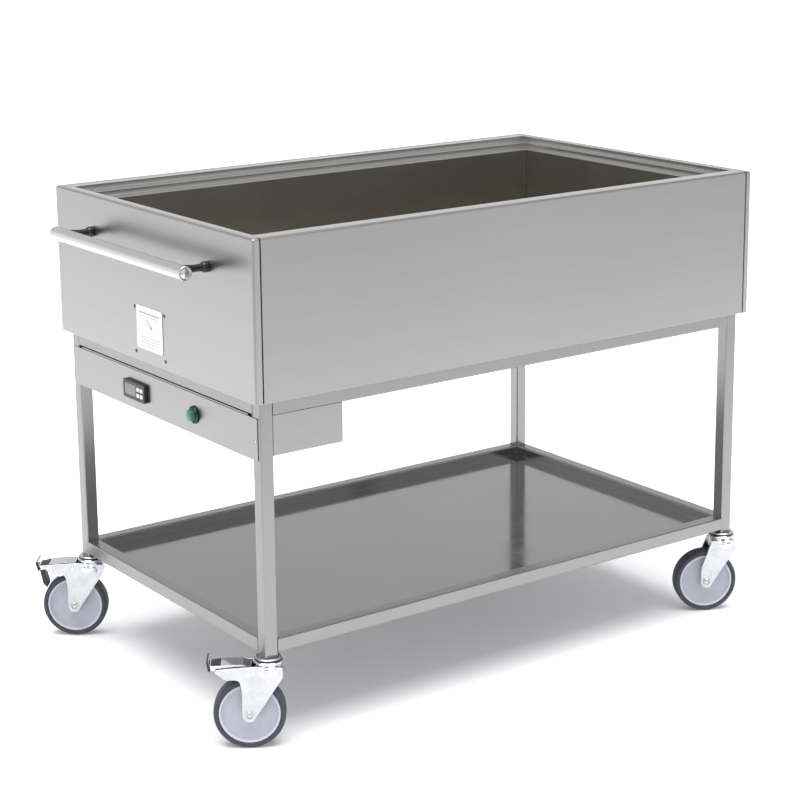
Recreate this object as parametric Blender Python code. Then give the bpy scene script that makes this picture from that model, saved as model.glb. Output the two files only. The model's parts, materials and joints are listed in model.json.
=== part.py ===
"""Mobile heated bain-marie trolley (steam table unit) as separate, named pieces.

A stainless tank in a folded sheet casing stands on a square-tube frame with a tray
shelf, a control box at one end, a push handle and four swivel castors. Metres, +Z up.
Inside the functions X runs along the unit (the handle and controls are at -X) and
-Y is the long front; the floor is Z = 0. An empty carries the whole unit and puts
the middle of its footprint over the world origin.
"""

import math

import bmesh
import bpy
from mathutils import Matrix, Vector

# ------------------------------------------------------------------ driving dimensions
GAP = 0.0003                  # clearance between pieces that touch
SHEET = 0.0012                # folded stainless sheet
CASING_SHEET = 0.0015         # outer casing sheet

CASING_LENGTH = 1.125
CASING_WIDTH = 0.695
CASING_BOTTOM_Z = 0.609
CASING_TOP_Z = 0.886
CASING_BEND = 0.005           # outside radius of the folded edges
CASING_TOP_FLANGE = 0.009     # folded in over the tank rim
CASING_BOTTOM_FLANGE = 0.032  # folded in over the frame
CORNER_RETURN = 0.013         # end panel wrapped round the corner
CORNER_SLOT = 0.0025          # open joint between end panel and long panel

FRAME_LENGTH = 1.094          # over the legs
FRAME_WIDTH = 0.666
TUBE = 0.025                  # square tube
TUBE_WALL = 0.0015
TUBE_RADIUS = 0.0025
LEG_BOTTOM_Z = 0.162
LOWER_RAIL_Z = 0.180          # centre line
TRAY_FLOOR_Z = 0.1725
TRAY_LIP = 0.018

# Tank rim: inset from the casing's faces and drop below its top, at the ends (X) and
# along the sides (Y), from the outer edge to the opening.
RIM_INSETS_X = (0.0095, 0.022, 0.022, 0.041, 0.041, 0.060)
RIM_INSETS_Y = (0.0095, 0.034, 0.034, 0.062, 0.062, 0.090)
RIM_DROPS = (0.0003, 0.0003, 0.0103, 0.0103, 0.0203, 0.0203)
TANK_DEPTH = 0.222

WHEEL_RADIUS = 0.0625
WHEEL_STEPS = 32
TYRE_HALF_WIDTH = 0.016
TYRE_BORE = 0.053
CASTOR_TRAIL = 0.033
AXLE_RADIUS = 0.006
FORK_HALF_WIDTH = 0.0215
FORK_PLATE = 0.003
FORK_HEAD_RADIUS = 0.026
FORK_CROWN_Z = 0.130          # underside of the crown over the wheel
FORK_TOP_Z = 0.157
KING_PIN_RADIUS = 0.005
PEDAL_PIVOT = (0.033, 0.139)  # along the trail, and up
PEDAL_STROKE = math.radians(7)

# Where each castor's wheel trails at rest, in degrees from +X.
CASTORS = {
    "front_left": dict(side=(-1, -1), trail=146.0, brake="released"),
    "rear_left": dict(side=(-1, 1), trail=142.5, brake="pressed"),
    "front_right": dict(side=(1, -1), trail=151.0, brake=None),
    "rear_right": dict(side=(1, 1), trail=148.0, brake=None),
}

BOX_RIGHT_X = -0.382
BOX_BOTTOM_Z = 0.514
FASCIA_HALF_WIDTH = 0.325
FASCIA_Z = (0.507, 0.580)
CONTROL_Z = 0.543
CONTROLLER_Y = 0.083
CONTROLLER_FACE = (0.078, 0.034)
CONTROLLER_BODY = (0.0704, 0.0284)
CONTROLLER_PROUD = 0.007
KEY_SIZE = (0.0095, 0.007)
KEY_Y = (0.0664, 0.0536)
KEY_Z = (CONTROL_Z + 0.0055, CONTROL_Z - 0.0055)
SWITCH_Y = -0.121
SWITCH_RADIUS = 0.016
LENS_RADIUS = 0.0102
LENS_PROUD = 0.009

HANDLE_Z = 0.819
HANDLE_REACH = 0.059          # bar's centre line out from the end panel
HANDLE_HALF_LENGTH = 0.2335
HANDLE_RADIUS = 0.0125
BRACKET_Y = 0.2035
STEM_RADIUS = 0.0065
COLLAR_RADIUS = 0.0095

PLATE_SIZE = (0.092, 0.078)
PLATE_CENTRE = (0.001, 0.673)

DRAIN_X = 0.36
DRAIN_Y = 0.15
DRAIN_BORE = 0.0175
VALVE_Z = 0.558
LEVER_LENGTH = 0.075

# ------------------------------------------------------------------ worked out from them
HALF_LENGTH = CASING_LENGTH / 2
HALF_WIDTH = CASING_WIDTH / 2
LEG_X = (FRAME_LENGTH - TUBE) / 2
LEG_Y = (FRAME_WIDTH - TUBE) / 2
FRAME_TOP_Z = CASING_BOTTOM_Z - GAP
UPPER_RAIL_Z = FRAME_TOP_Z - TUBE / 2
AXLE_Z = WHEEL_RADIUS * math.cos(math.pi / WHEEL_STEPS)
FASCIA_X = -FRAME_LENGTH / 2 - GAP - SHEET
TANK_FLOOR_Z = CASING_TOP_Z - TANK_DEPTH
SLOT_HALF_WIDTH = FORK_HALF_WIDTH - FORK_PLATE


# ------------------------------------------------------------------ scene and materials
def clear_scene():
    for obj in list(bpy.data.objects):
        bpy.data.objects.remove(obj)


def principled(name, colour, roughness, metallic):
    made = bpy.data.materials.new(name)
    made.use_nodes = True
    shader = made.node_tree.nodes["Principled BSDF"]
    shader.inputs["Base Color"].default_value = (*colour, 1.0)
    shader.inputs["Roughness"].default_value = roughness
    shader.inputs["Metallic"].default_value = metallic
    made.diffuse_color = (*colour, 1.0)
    return made


def make_materials():
    return {
        "brushed": principled("brushed_stainless", (0.60, 0.60, 0.59), 0.36, 1.0),
        "tank": principled("tank_stainless", (0.42, 0.40, 0.37), 0.28, 1.0),
        "polished": principled("polished_stainless", (0.55, 0.55, 0.55), 0.14, 1.0),
        "zinc": principled("zinc_plated_steel", (0.80, 0.82, 0.85), 0.22, 1.0),
        "tyre": principled("grey_rubber", (0.08, 0.085, 0.11), 0.70, 0.0),
        "hub": principled("grey_nylon", (0.42, 0.43, 0.50), 0.45, 0.0),
        "black": principled("black_plastic", (0.02, 0.02, 0.02), 0.25, 0.0),
        "bezel": principled("bezel_plastic", (0.05, 0.05, 0.05), 0.40, 0.0),
        "key": principled("white_key", (0.75, 0.76, 0.72), 0.50, 0.0),
        "lens": principled("green_lens", (0.02, 0.25, 0.12), 0.20, 0.0),
        "plate": principled("white_plate", (0.88, 0.88, 0.86), 0.35, 0.0),
        "heater": principled("heater_sheath", (0.25, 0.24, 0.23), 0.50, 1.0),
        "wool": principled("mineral_wool", (0.60, 0.55, 0.38), 0.90, 0.0),
        "brass": principled("nickelled_brass", (0.65, 0.60, 0.50), 0.30, 1.0),
        "grip": principled("red_grip", (0.45, 0.03, 0.03), 0.50, 0.0),
    }


# ------------------------------------------------------------------ mesh makers
def finished(bm, name):
    """Close a bmesh into a mesh with outward faces and sharp edges kept sharp."""
    bmesh.ops.remove_doubles(bm, verts=bm.verts, dist=1e-6)
    bmesh.ops.recalc_face_normals(bm, faces=bm.faces)
    mesh = bpy.data.meshes.new(name)
    bm.to_mesh(mesh)
    bm.free()
    mesh.shade_smooth()
    mesh.set_sharp_from_angle(angle=math.radians(35))
    return mesh


def block(low, high, name="block"):
    """A box between two corners."""
    bm = bmesh.new()
    size = Vector(high) - Vector(low)
    middle = (Vector(high) + Vector(low)) / 2
    placed = Matrix.Translation(middle) @ Matrix.Diagonal((*size, 1.0))
    bmesh.ops.create_cube(bm, size=1.0, matrix=placed)
    return finished(bm, name)


def folded_block(low, high, radius, name="folded_block"):
    """A box with its upright and top edges rounded, as folded sheet is."""
    bm = bmesh.new()
    size = Vector(high) - Vector(low)
    middle = (Vector(high) + Vector(low)) / 2
    placed = Matrix.Translation(middle) @ Matrix.Diagonal((*size, 1.0))
    bmesh.ops.create_cube(bm, size=1.0, matrix=placed)
    rounded = [e for e in bm.edges if max(v.co.z for v in e.verts) > middle.z]
    bmesh.ops.bevel(bm, geom=rounded, offset=radius, segments=3, profile=0.5,
                    affect="EDGES", clamp_overlap=True)
    return finished(bm, name)


def prism(outline, start, end, axis="Y", name="prism"):
    """A flat outline drawn out along an axis.

    The outline is in (X, Z) for axis Y, in (X, Y) for axis Z and in (Y, Z) for axis X.
    """
    def point(pair, along):
        a, b = pair
        return {"X": (along, a, b), "Y": (a, along, b), "Z": (a, b, along)}[axis]

    bm = bmesh.new()
    near = bm.faces.new([bm.verts.new(point(pair, start)) for pair in outline])
    drawn = bmesh.ops.extrude_face_region(bm, geom=[near])
    moved = [v for v in drawn["geom"] if isinstance(v, bmesh.types.BMVert)]
    step = Vector(point((0, 0), end)) - Vector(point((0, 0), start))
    bmesh.ops.translate(bm, verts=moved, vec=step)
    return finished(bm, name)


def turned(profile, steps, ring=False, name="turned"):
    """A profile of (radius, height) points turned about Z.

    A ring's profile is closed on itself; any other starts and ends on the axis.
    The first step is half a step off +X, so that a flat faces each main direction.
    """
    bm = bmesh.new()
    angle = math.pi / steps
    cosine = math.cos(angle)
    sine = math.sin(angle)
    points = [bm.verts.new((r * cosine, r * sine, z)) for r, z in profile]
    edges = [bm.edges.new(pair) for pair in zip(points, points[1:])]
    if ring:
        edges.append(bm.edges.new((points[-1], points[0])))
    bmesh.ops.spin(bm, geom=points + edges, cent=(0, 0, 0), axis=(0, 0, 1),
                   angle=2 * math.pi, steps=steps, use_merge=True)
    return finished(bm, name)


def rod(radius, start, end, steps=20, name="rod"):
    """A plain round bar along Z."""
    return turned([(0, start), (radius, start), (radius, end), (0, end)], steps, name=name)


def moved(mesh, matrix):
    """The same mesh, placed by a matrix."""
    mesh.transform(matrix)
    return mesh


def along_y(mesh, x=0.0, y=0.0, z=0.0):
    """Lay a piece turned about Z along Y, through the point given."""
    return moved(mesh, Matrix.Translation((x, y, z)) @ Matrix.Rotation(-math.pi / 2, 4, "X"))


def along_minus_x(mesh, x=0.0, y=0.0, z=0.0):
    """Lay a piece turned about Z along -X, through the point given."""
    return moved(mesh, Matrix.Translation((x, y, z)) @ Matrix.Rotation(-math.pi / 2, 4, "Y"))


def combine(base, *steps):
    """Cut, join or intersect a mesh with others, in order: ("DIFFERENCE", mesh) and so on."""
    work = bpy.data.objects.new("work", base)
    bpy.context.collection.objects.link(work)
    tools = []
    for operation, mesh in steps:
        tool = bpy.data.objects.new("tool", mesh)
        bpy.context.collection.objects.link(tool)
        modifier = work.modifiers.new(operation.lower(), "BOOLEAN")
        modifier.operation = operation
        modifier.solver = "EXACT"
        modifier.object = tool
        tools.append(tool)
    depsgraph = bpy.context.evaluated_depsgraph_get()
    result = bpy.data.meshes.new_from_object(work.evaluated_get(depsgraph))
    for obj in [work, *tools]:
        bpy.data.objects.remove(obj)
    result.shade_smooth()
    result.set_sharp_from_angle(angle=math.radians(35))
    return result


def rounded_rectangle(half_x, half_y, radius, steps=2):
    """Corner arcs of a rectangle, anticlockwise, steps + 1 points to a corner."""
    points = []
    for quarter, (sx, sy) in enumerate(((1, 1), (-1, 1), (-1, -1), (1, -1))):
        for step in range(steps + 1):
            turn = (quarter + step / steps) * math.pi / 2
            points.append((sx * (half_x - radius) + radius * math.cos(turn),
                           sy * (half_y - radius) + radius * math.sin(turn)))
    return points


def arc(centre, radius, start, end, steps):
    """Points on an arc, angles in degrees."""
    turns = [math.radians(start + (end - start) * i / steps) for i in range(steps + 1)]
    return [(centre[0] + radius * math.cos(t), centre[1] + radius * math.sin(t)) for t in turns]


def square_tube(length):
    """Square hollow section along Z, centred on the origin, open at both ends."""
    outer = rounded_rectangle(TUBE / 2, TUBE / 2, TUBE_RADIUS)
    inner_half = TUBE / 2 - TUBE_WALL
    inner = rounded_rectangle(inner_half, inner_half, TUBE_RADIUS - TUBE_WALL)
    low = -length / 2
    high = length / 2
    bm = bmesh.new()
    loops = [[bm.verts.new((x, y, z)) for x, y in ring]
             for ring, z in ((outer, low), (outer, high), (inner, high), (inner, low))]
    count = len(outer)
    for here, there in zip(loops, loops[1:] + loops[:1]):
        for i in range(count):
            j = (i + 1) % count
            bm.faces.new((here[i], here[j], there[j], there[i]))
    return finished(bm, "square_tube")


# ------------------------------------------------------------------ object makers
def pivot(name, parent, location, rotation=(0, 0, 0)):
    """An empty on a joint's axis, or at a body's reference point."""
    empty = bpy.data.objects.new(name, None)
    empty.empty_display_size = 0.03
    empty.location = location
    empty.rotation_euler = rotation
    empty.parent = parent
    bpy.context.collection.objects.link(empty)
    return empty


def piece(name, mesh, material, parent, location=(0, 0, 0), rotation=(0, 0, 0)):
    """One named solid."""
    obj = bpy.data.objects.new(name, mesh)
    if not mesh.materials:
        mesh.materials.append(material)
    else:
        mesh.materials[0] = material
    obj.location = location
    obj.rotation_euler = rotation
    obj.parent = parent
    bpy.context.collection.objects.link(obj)
    return obj


# ------------------------------------------------------------------ frame
def make_frame(unit, materials):
    steel = materials["brushed"]
    leg = square_tube(FRAME_TOP_Z - LEG_BOTTOM_Z)
    long_rail = square_tube(FRAME_LENGTH - 2 * TUBE - 2 * GAP)
    short_rail = square_tube(FRAME_WIDTH - 2 * TUBE - 2 * GAP)
    leg_z = (FRAME_TOP_Z + LEG_BOTTOM_Z) / 2
    for place, castor in CASTORS.items():
        side_x, side_y = castor["side"]
        piece(f"leg_{place}", leg, steel, unit, (side_x * LEG_X, side_y * LEG_Y, leg_z))
    for level, z in (("upper", UPPER_RAIL_Z), ("lower", LOWER_RAIL_Z)):
        for side, y in (("front", -LEG_Y), ("rear", LEG_Y)):
            piece(f"{level}_rail_{side}", long_rail, steel, unit, (0, y, z),
                  (0, math.pi / 2, 0))
        for side, x in (("left", -LEG_X), ("right", LEG_X)):
            piece(f"{level}_rail_{side}", short_rail, steel, unit, (x, 0, z),
                  (math.pi / 2, 0, 0))


def make_shelf(unit, materials):
    """A folded tray between the lower rails, its lip up against them."""
    half_x = FRAME_LENGTH / 2 - TUBE - GAP
    half_y = FRAME_WIDTH / 2 - TUBE - GAP
    outer = block((-half_x, -half_y, TRAY_FLOOR_Z - SHEET),
                  (half_x, half_y, TRAY_FLOOR_Z + TRAY_LIP))
    inner = block((SHEET - half_x, SHEET - half_y, TRAY_FLOOR_Z),
                  (half_x - SHEET, half_y - SHEET, TRAY_FLOOR_Z + 2 * TRAY_LIP))
    tray = combine(outer, ("DIFFERENCE", inner))
    piece("shelf_tray", tray, materials["polished"], unit)


# ------------------------------------------------------------------ casing and tank
def casing_panel(low, high):
    """The part of the folded casing that lies between two corners."""
    outer = folded_block((-HALF_LENGTH, -HALF_WIDTH, CASING_BOTTOM_Z),
                         (HALF_LENGTH, HALF_WIDTH, CASING_TOP_Z), CASING_BEND)
    inner_x = HALF_LENGTH - CASING_SHEET
    inner_y = HALF_WIDTH - CASING_SHEET
    inner = folded_block((-inner_x, -inner_y, CASING_BOTTOM_Z + CASING_SHEET),
                         (inner_x, inner_y, CASING_TOP_Z - CASING_SHEET),
                         CASING_BEND - CASING_SHEET)
    top_x = HALF_LENGTH - CASING_TOP_FLANGE
    top_y = HALF_WIDTH - CASING_TOP_FLANGE
    middle_z = (CASING_BOTTOM_Z + CASING_TOP_Z) / 2
    mouth = block((-top_x, -top_y, middle_z), (top_x, top_y, CASING_TOP_Z + SHEET))
    base_x = HALF_LENGTH - CASING_BOTTOM_FLANGE
    base_y = HALF_WIDTH - CASING_BOTTOM_FLANGE
    base = block((-base_x, -base_y, CASING_BOTTOM_Z - SHEET), (base_x, base_y, middle_z))
    return combine(outer, ("DIFFERENCE", inner), ("DIFFERENCE", mouth),
                   ("DIFFERENCE", base), ("INTERSECT", block(low, high)))


def make_casing(unit, materials):
    steel = materials["brushed"]
    below = CASING_BOTTOM_Z - 0.01
    above = CASING_TOP_Z + 0.01
    beyond_x = HALF_LENGTH + 0.01
    beyond_y = HALF_WIDTH + 0.01
    corner_x = HALF_LENGTH - CORNER_RETURN
    long_x = corner_x - CORNER_SLOT
    inward_y = HALF_WIDTH - CASING_BOTTOM_FLANGE - SHEET
    piece("casing_front_panel",
          casing_panel((-long_x, -beyond_y, below), (long_x, -inward_y, above)),
          steel, unit)
    piece("casing_rear_panel",
          casing_panel((-long_x, inward_y, below), (long_x, beyond_y, above)),
          steel, unit)
    piece("casing_left_panel",
          casing_panel((-beyond_x, -beyond_y, below), (-corner_x, beyond_y, above)),
          steel, unit)
    piece("casing_right_panel",
          casing_panel((corner_x, -beyond_y, below), (beyond_x, beyond_y, above)),
          steel, unit)


def make_tank(unit, materials):
    """Pressed tank with a two-step rim that carries the food pans."""
    levels = [(HALF_LENGTH - ix, HALF_WIDTH - iy, CASING_TOP_Z - drop)
              for ix, iy, drop in zip(RIM_INSETS_X, RIM_INSETS_Y, RIM_DROPS)]
    opening_x, opening_y, _ = levels[-1]
    levels.append((opening_x, opening_y, TANK_FLOOR_Z))
    bm = bmesh.new()
    rings = [[bm.verts.new((sx * x, sy * y, z))
              for sx, sy in ((-1, -1), (1, -1), (1, 1), (-1, 1))]
             for x, y, z in levels]
    for outer, inner in zip(rings, rings[1:]):
        for i in range(4):
            j = (i + 1) % 4
            bm.faces.new((outer[i], outer[j], inner[j], inner[i]))
    bm.faces.new(rings[-1])
    mesh = bpy.data.meshes.new("tank_skin")
    bm.to_mesh(mesh)
    bm.free()
    skin = bpy.data.objects.new("tank_skin", mesh)
    bpy.context.collection.objects.link(skin)
    thick = skin.modifiers.new("thickness", "SOLIDIFY")
    thick.thickness = SHEET
    thick.offset = -1.0
    thick.use_even_offset = True
    depsgraph = bpy.context.evaluated_depsgraph_get()
    solid = bpy.data.meshes.new_from_object(skin.evaluated_get(depsgraph))
    bpy.data.objects.remove(skin)
    hole = moved(rod(DRAIN_BORE, TANK_FLOOR_Z - 0.01, TANK_FLOOR_Z + 0.01, 16),
                 Matrix.Translation((DRAIN_X, DRAIN_Y, 0)))
    piece("tank", combine(solid, ("DIFFERENCE", hole)), materials["tank"], unit)


def make_underside(unit, materials):
    """Closing pan, insulation board, heating element and probe below the tank."""
    pan_low = CASING_BOTTOM_Z + CASING_SHEET + GAP
    pan_x = HALF_LENGTH - CASING_BEND
    pan_y = HALF_WIDTH - CASING_BEND
    pan = block((-pan_x, -pan_y, pan_low), (pan_x, pan_y, pan_low + SHEET))
    pipe_hole = Matrix.Translation((DRAIN_X, DRAIN_Y, 0))
    hole = moved(rod(DRAIN_BORE, pan_low - 0.01, pan_low + 0.01, 16), pipe_hole)
    piece("bottom_pan", combine(pan, ("DIFFERENCE", hole)), materials["brushed"], unit)

    board_low = pan_low + SHEET + GAP
    board_high = TANK_FLOOR_Z - 0.015
    board_x = 0.49
    board_y = 0.245
    board = block((-board_x, -board_y, board_low), (board_x, board_y, board_high))
    hole = moved(rod(DRAIN_BORE, board_low - 0.01, board_high + 0.01, 16), pipe_hole)
    piece("insulation_board", combine(board, ("DIFFERENCE", hole)), materials["wool"], unit)

    element_radius = 0.004
    element_z = TANK_FLOOR_Z - SHEET - element_radius - 0.001
    piece("heating_element", hairpin(element_radius, element_z), materials["heater"], unit)
    probe = along_y(turned([(0, -0.045), (0.003, -0.045), (0.003, 0.040), (0.002, 0.045),
                            (0, 0.045)], 12), -0.15, 0.0, element_z)
    piece("temperature_probe", probe, materials["brass"], unit)


def hairpin(radius, height):
    """A sheathed heater bent into a hairpin, leads at the control end."""
    reach = 0.20
    half_gap = 0.12
    left_x = -0.47
    steps = 10
    bend = arc((reach, 0), half_gap, -90, 90, steps)
    route = [(left_x, -half_gap), *bend, (left_x, half_gap)]
    curve = bpy.data.curves.new("hairpin", "CURVE")
    curve.dimensions = "3D"
    curve.bevel_depth = radius
    curve.bevel_resolution = 2
    curve.use_fill_caps = True
    spline = curve.splines.new("POLY")
    spline.points.add(len(route) - 1)
    for point, (x, y) in zip(spline.points, route):
        point.co = (x, y, height, 1.0)
    holder = bpy.data.objects.new("hairpin", curve)
    bpy.context.collection.objects.link(holder)
    depsgraph = bpy.context.evaluated_depsgraph_get()
    mesh = bpy.data.meshes.new_from_object(holder.evaluated_get(depsgraph))
    bpy.data.objects.remove(holder)
    bm = bmesh.new()
    bm.from_mesh(mesh)
    return finished(bm, "hairpin")


# ------------------------------------------------------------------ drain
def make_drain(unit, materials):
    """Outlet with a flat strainer, tail pipe and quarter-turn valve, its lever at the rear."""
    pipe = DRAIN_BORE - GAP
    rim_z = TANK_FLOOR_Z + GAP
    profile = [
        (0, rim_z + 0.0015), (0.024, rim_z + 0.0015), (0.024, rim_z), (pipe, rim_z),
        (pipe, VALVE_Z + 0.026), (0.021, VALVE_Z + 0.026), (0.021, VALVE_Z + 0.014),
        (0.016, VALVE_Z + 0.014), (0.016, VALVE_Z - 0.014), (0.021, VALVE_Z - 0.014),
        (0.021, VALVE_Z - 0.026), (0.0135, VALVE_Z - 0.026), (0.0135, VALVE_Z - 0.045),
        (0.0105, VALVE_Z - 0.045), (0.0105, VALVE_Z - 0.020), (0, VALVE_Z - 0.020),
    ]
    body = turned(profile, 16)
    stem = along_y(rod(0.008, 0.0, 0.026, 10), 0, 0, VALVE_Z)
    piece("drain_valve", combine(body, ("UNION", stem)), materials["brass"], unit,
          (DRAIN_X, DRAIN_Y, 0))

    lever_pivot = pivot("drain_lever_pivot", unit, (DRAIN_X, DRAIN_Y + 0.026 + GAP, VALVE_Z))
    half_width = 0.007
    tip = LEVER_LENGTH - half_width
    outline = arc((0, 0), 0.010, 50, 310, 10) + arc((tip, 0), half_width, -90, 90, 6)
    lever = prism(outline, 0, 0.004, "Y")
    piece("drain_lever", lever, materials["grip"], lever_pivot)


# ------------------------------------------------------------------ controls
def make_control_box(unit, materials):
    """Sheet box under the casing, notched round the two left legs."""
    left_x = -FRAME_LENGTH / 2 + GAP
    leg_x = -FRAME_LENGTH / 2 + TUBE + GAP
    between_legs = FRAME_WIDTH / 2 - TUBE - GAP
    side_y = FRAME_WIDTH / 2 - 0.001
    top_z = UPPER_RAIL_Z - TUBE / 2 - GAP
    outline = [(left_x, -between_legs), (leg_x, -between_legs), (leg_x, -side_y),
               (BOX_RIGHT_X, -side_y), (BOX_RIGHT_X, side_y), (leg_x, side_y),
               (leg_x, between_legs), (left_x, between_legs)]
    shell = prism(outline, BOX_BOTTOM_Z, top_z, "Z")
    floor_z = BOX_BOTTOM_Z + SHEET
    wide = block((leg_x + SHEET, SHEET - side_y, floor_z),
                 (BOX_RIGHT_X - SHEET, side_y - SHEET, top_z + 0.01))
    narrow = block((left_x - 0.01, SHEET - between_legs, floor_z),
                   (leg_x + 2 * SHEET, between_legs - SHEET, top_z + 0.01))
    hole = along_y(rod(0.0083, -0.01, 0.01, 16), BOX_RIGHT_X - 0.06, side_y, CONTROL_Z)
    box = combine(shell, ("DIFFERENCE", wide), ("DIFFERENCE", narrow), ("DIFFERENCE", hole))
    piece("control_box", box, materials["brushed"], unit)

    gland = turned([(0, -0.012), (0.008, -0.012), (0.008, GAP), (0.013, GAP),
                    (0.013, 0.006), (0.0105, 0.018), (0.0075, 0.022),
                    (0.004, 0.022), (0.004, 0.004), (0, 0.004)], 16)
    piece("cable_gland", along_y(gland), materials["black"], unit,
          (BOX_RIGHT_X - 0.06, side_y, CONTROL_Z))


def make_fascia(unit, materials):
    sheet = block((FASCIA_X, -FASCIA_HALF_WIDTH, FASCIA_Z[0]),
                  (FASCIA_X + SHEET, FASCIA_HALF_WIDTH, FASCIA_Z[1]))
    half_y, half_z = (side / 2 + GAP for side in CONTROLLER_BODY)
    window = block((FASCIA_X - 0.01, CONTROLLER_Y - half_y, CONTROL_Z - half_z),
                   (FASCIA_X + 0.01, CONTROLLER_Y + half_y, CONTROL_Z + half_z))
    hole = along_minus_x(rod(0.0123, -0.01, 0.01, 20), FASCIA_X, SWITCH_Y, CONTROL_Z)
    fascia = combine(sheet, ("DIFFERENCE", window), ("DIFFERENCE", hole))
    piece("control_fascia", fascia, materials["brushed"], unit)


def make_controller(unit, materials):
    """Panel thermostat: a bezel on the fascia, its case behind, four keys."""
    face_x = FASCIA_X - GAP
    front_x = face_x - CONTROLLER_PROUD
    half_y, half_z = (side / 2 for side in CONTROLLER_FACE)
    outline = [(CONTROLLER_Y + y, CONTROL_Z + z)
               for y, z in rounded_rectangle(half_y, half_z, 0.004)]
    bezel = prism(outline, front_x, face_x, "X")
    case_y, case_z = (side / 2 for side in CONTROLLER_BODY)
    case = block((face_x - 0.002, CONTROLLER_Y - case_y, CONTROL_Z - case_z),
                 (face_x + 0.055, CONTROLLER_Y + case_y, CONTROL_Z + case_z))
    glass_y = CONTROLLER_Y + 0.0135
    display = block((front_x - 0.01, glass_y - 0.020, CONTROL_Z - 0.0105),
                    (front_x + 0.0012, glass_y + 0.020, CONTROL_Z + 0.0105))
    key_y, key_z = KEY_SIZE
    pockets = [block((front_x - 0.01, y - key_y / 2 - GAP, z - key_z / 2 - GAP),
                     (front_x + 0.0045, y + key_y / 2 + GAP, z + key_z / 2 + GAP))
               for z in KEY_Z for y in KEY_Y]
    cuts = [("DIFFERENCE", mesh) for mesh in [display, *pockets]]
    piece("controller", combine(bezel, ("UNION", case), *cuts), materials["bezel"], unit)

    key = block((-0.001, -key_y / 2, -key_z / 2), (0.0035, key_y / 2, key_z / 2))
    names = ("set", "down", "up", "mode")
    places = [(y, z) for z in reversed(KEY_Z) for y in KEY_Y]
    for name, (y, z) in zip(names, places):
        guide = pivot(f"key_{name}_guide", unit, (front_x, y, z))
        piece(f"key_{name}", key, materials["key"], guide)


def make_switch(unit, materials):
    """Illuminated push button: a black collar on the fascia and a green lens."""
    collar = turned([(0, -0.030), (0.012, -0.030), (0.012, GAP), (SWITCH_RADIUS, GAP),
                     (SWITCH_RADIUS, 0.003), (0.0135, 0.0053), (LENS_RADIUS + 0.0004, 0.0053),
                     (LENS_RADIUS + 0.0004, -0.004), (0, -0.004)], 20)
    piece("switch_collar", along_minus_x(collar), materials["black"], unit,
          (FASCIA_X, SWITCH_Y, CONTROL_Z))
    guide = pivot("switch_lens_guide", unit, (FASCIA_X - 0.0053, SWITCH_Y, CONTROL_Z))
    lens = turned([(0, -0.005), (LENS_RADIUS, -0.005), (LENS_RADIUS, LENS_PROUD - 0.004),
                   (LENS_RADIUS - 0.0012, LENS_PROUD - 0.001),
                   (LENS_RADIUS - 0.004, LENS_PROUD), (0, LENS_PROUD)], 20)
    piece("switch_lens", along_minus_x(lens), materials["lens"], guide)


# ------------------------------------------------------------------ handle and plate
def make_handle(unit, materials):
    bar_x = -HALF_LENGTH - HANDLE_REACH
    half = HANDLE_HALF_LENGTH
    bar = turned([(0, -half), (HANDLE_RADIUS - 0.003, -half), (HANDLE_RADIUS, 0.003 - half),
                  (HANDLE_RADIUS, half - 0.003), (HANDLE_RADIUS - 0.003, half), (0, half)], 24)
    piece("handle_bar", along_y(bar), materials["polished"], unit, (bar_x, 0, HANDLE_Z))

    # Each bracket is a turned stem with a collar at the panel and a saddle round the bar.
    panel = HANDLE_REACH - GAP
    stem = turned([(0, panel), (COLLAR_RADIUS - 0.001, panel), (COLLAR_RADIUS, panel - 0.001),
                   (COLLAR_RADIUS, panel - 0.008), (COLLAR_RADIUS - 0.002, panel - 0.011),
                   (STEM_RADIUS, panel - 0.012), (STEM_RADIUS, 0.030),
                   (STEM_RADIUS + 0.0015, 0.022), (STEM_RADIUS + 0.0015, 0.006), (0, 0.006)], 20)
    bore = along_y(rod(HANDLE_RADIUS + GAP, -0.02, 0.02, 24))
    bracket = combine(moved(stem, Matrix.Rotation(math.pi / 2, 4, "Y")), ("DIFFERENCE", bore))
    for side, y in (("front", -BRACKET_Y), ("rear", BRACKET_Y)):
        piece(f"handle_bracket_{side}", bracket, materials["black"], unit, (bar_x, y, HANDLE_Z))


def make_info_plate(unit, materials):
    half_y, half_z = (side / 2 for side in PLATE_SIZE)
    outline = [(PLATE_CENTRE[0] + y, PLATE_CENTRE[1] + z)
               for y, z in rounded_rectangle(half_y, half_z, 0.005)]
    outer_x = -HALF_LENGTH - GAP
    piece("info_plate", prism(outline, outer_x - 0.0008, outer_x, "X"), materials["plate"], unit)


# ------------------------------------------------------------------ castors
def stem_mesh():
    """Expander stud up the leg, bearing race, and king pin with its nut below the crown."""
    race_low = FORK_TOP_Z + GAP
    race_high = LEG_BOTTOM_Z - GAP
    nut_high = FORK_CROWN_Z - GAP
    stud = TUBE / 2 - TUBE_WALL - 0.0004
    return turned([
        (0, nut_high - 0.0065), (0.009, nut_high - 0.0065), (0.009, nut_high),
        (KING_PIN_RADIUS, nut_high), (KING_PIN_RADIUS, race_low), (0.023, race_low),
        (0.023, race_high), (stud, race_high), (stud, LEG_BOTTOM_Z + 0.040),
        (0.006, LEG_BOTTOM_Z + 0.045), (0, LEG_BOTTOM_Z + 0.045)], 16, name="castor_stem")


def fork_outline(braked):
    """Side plate seen from the axle's end: (along the trail, up)."""
    axle = (CASTOR_TRAIL, AXLE_Z)
    foot = arc(axle, 0.0125, 200, 360, 6)
    back = [(-0.0245, 0.146), (-0.0250, 0.128)]
    front = [(0.0440, 0.090), (0.0280, 0.134), (0.0235, 0.146)]
    if braked:
        front = [(0.0455, 0.108), *arc((0.060, 0.1125), 0.0145, 180, 100, 4),
                 (0.0840, 0.126), (0.0910, 0.138), (0.0900, 0.1455), (0.0600, 0.1480),
                 (0.0235, 0.1500)]
    return back + foot + front


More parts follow.
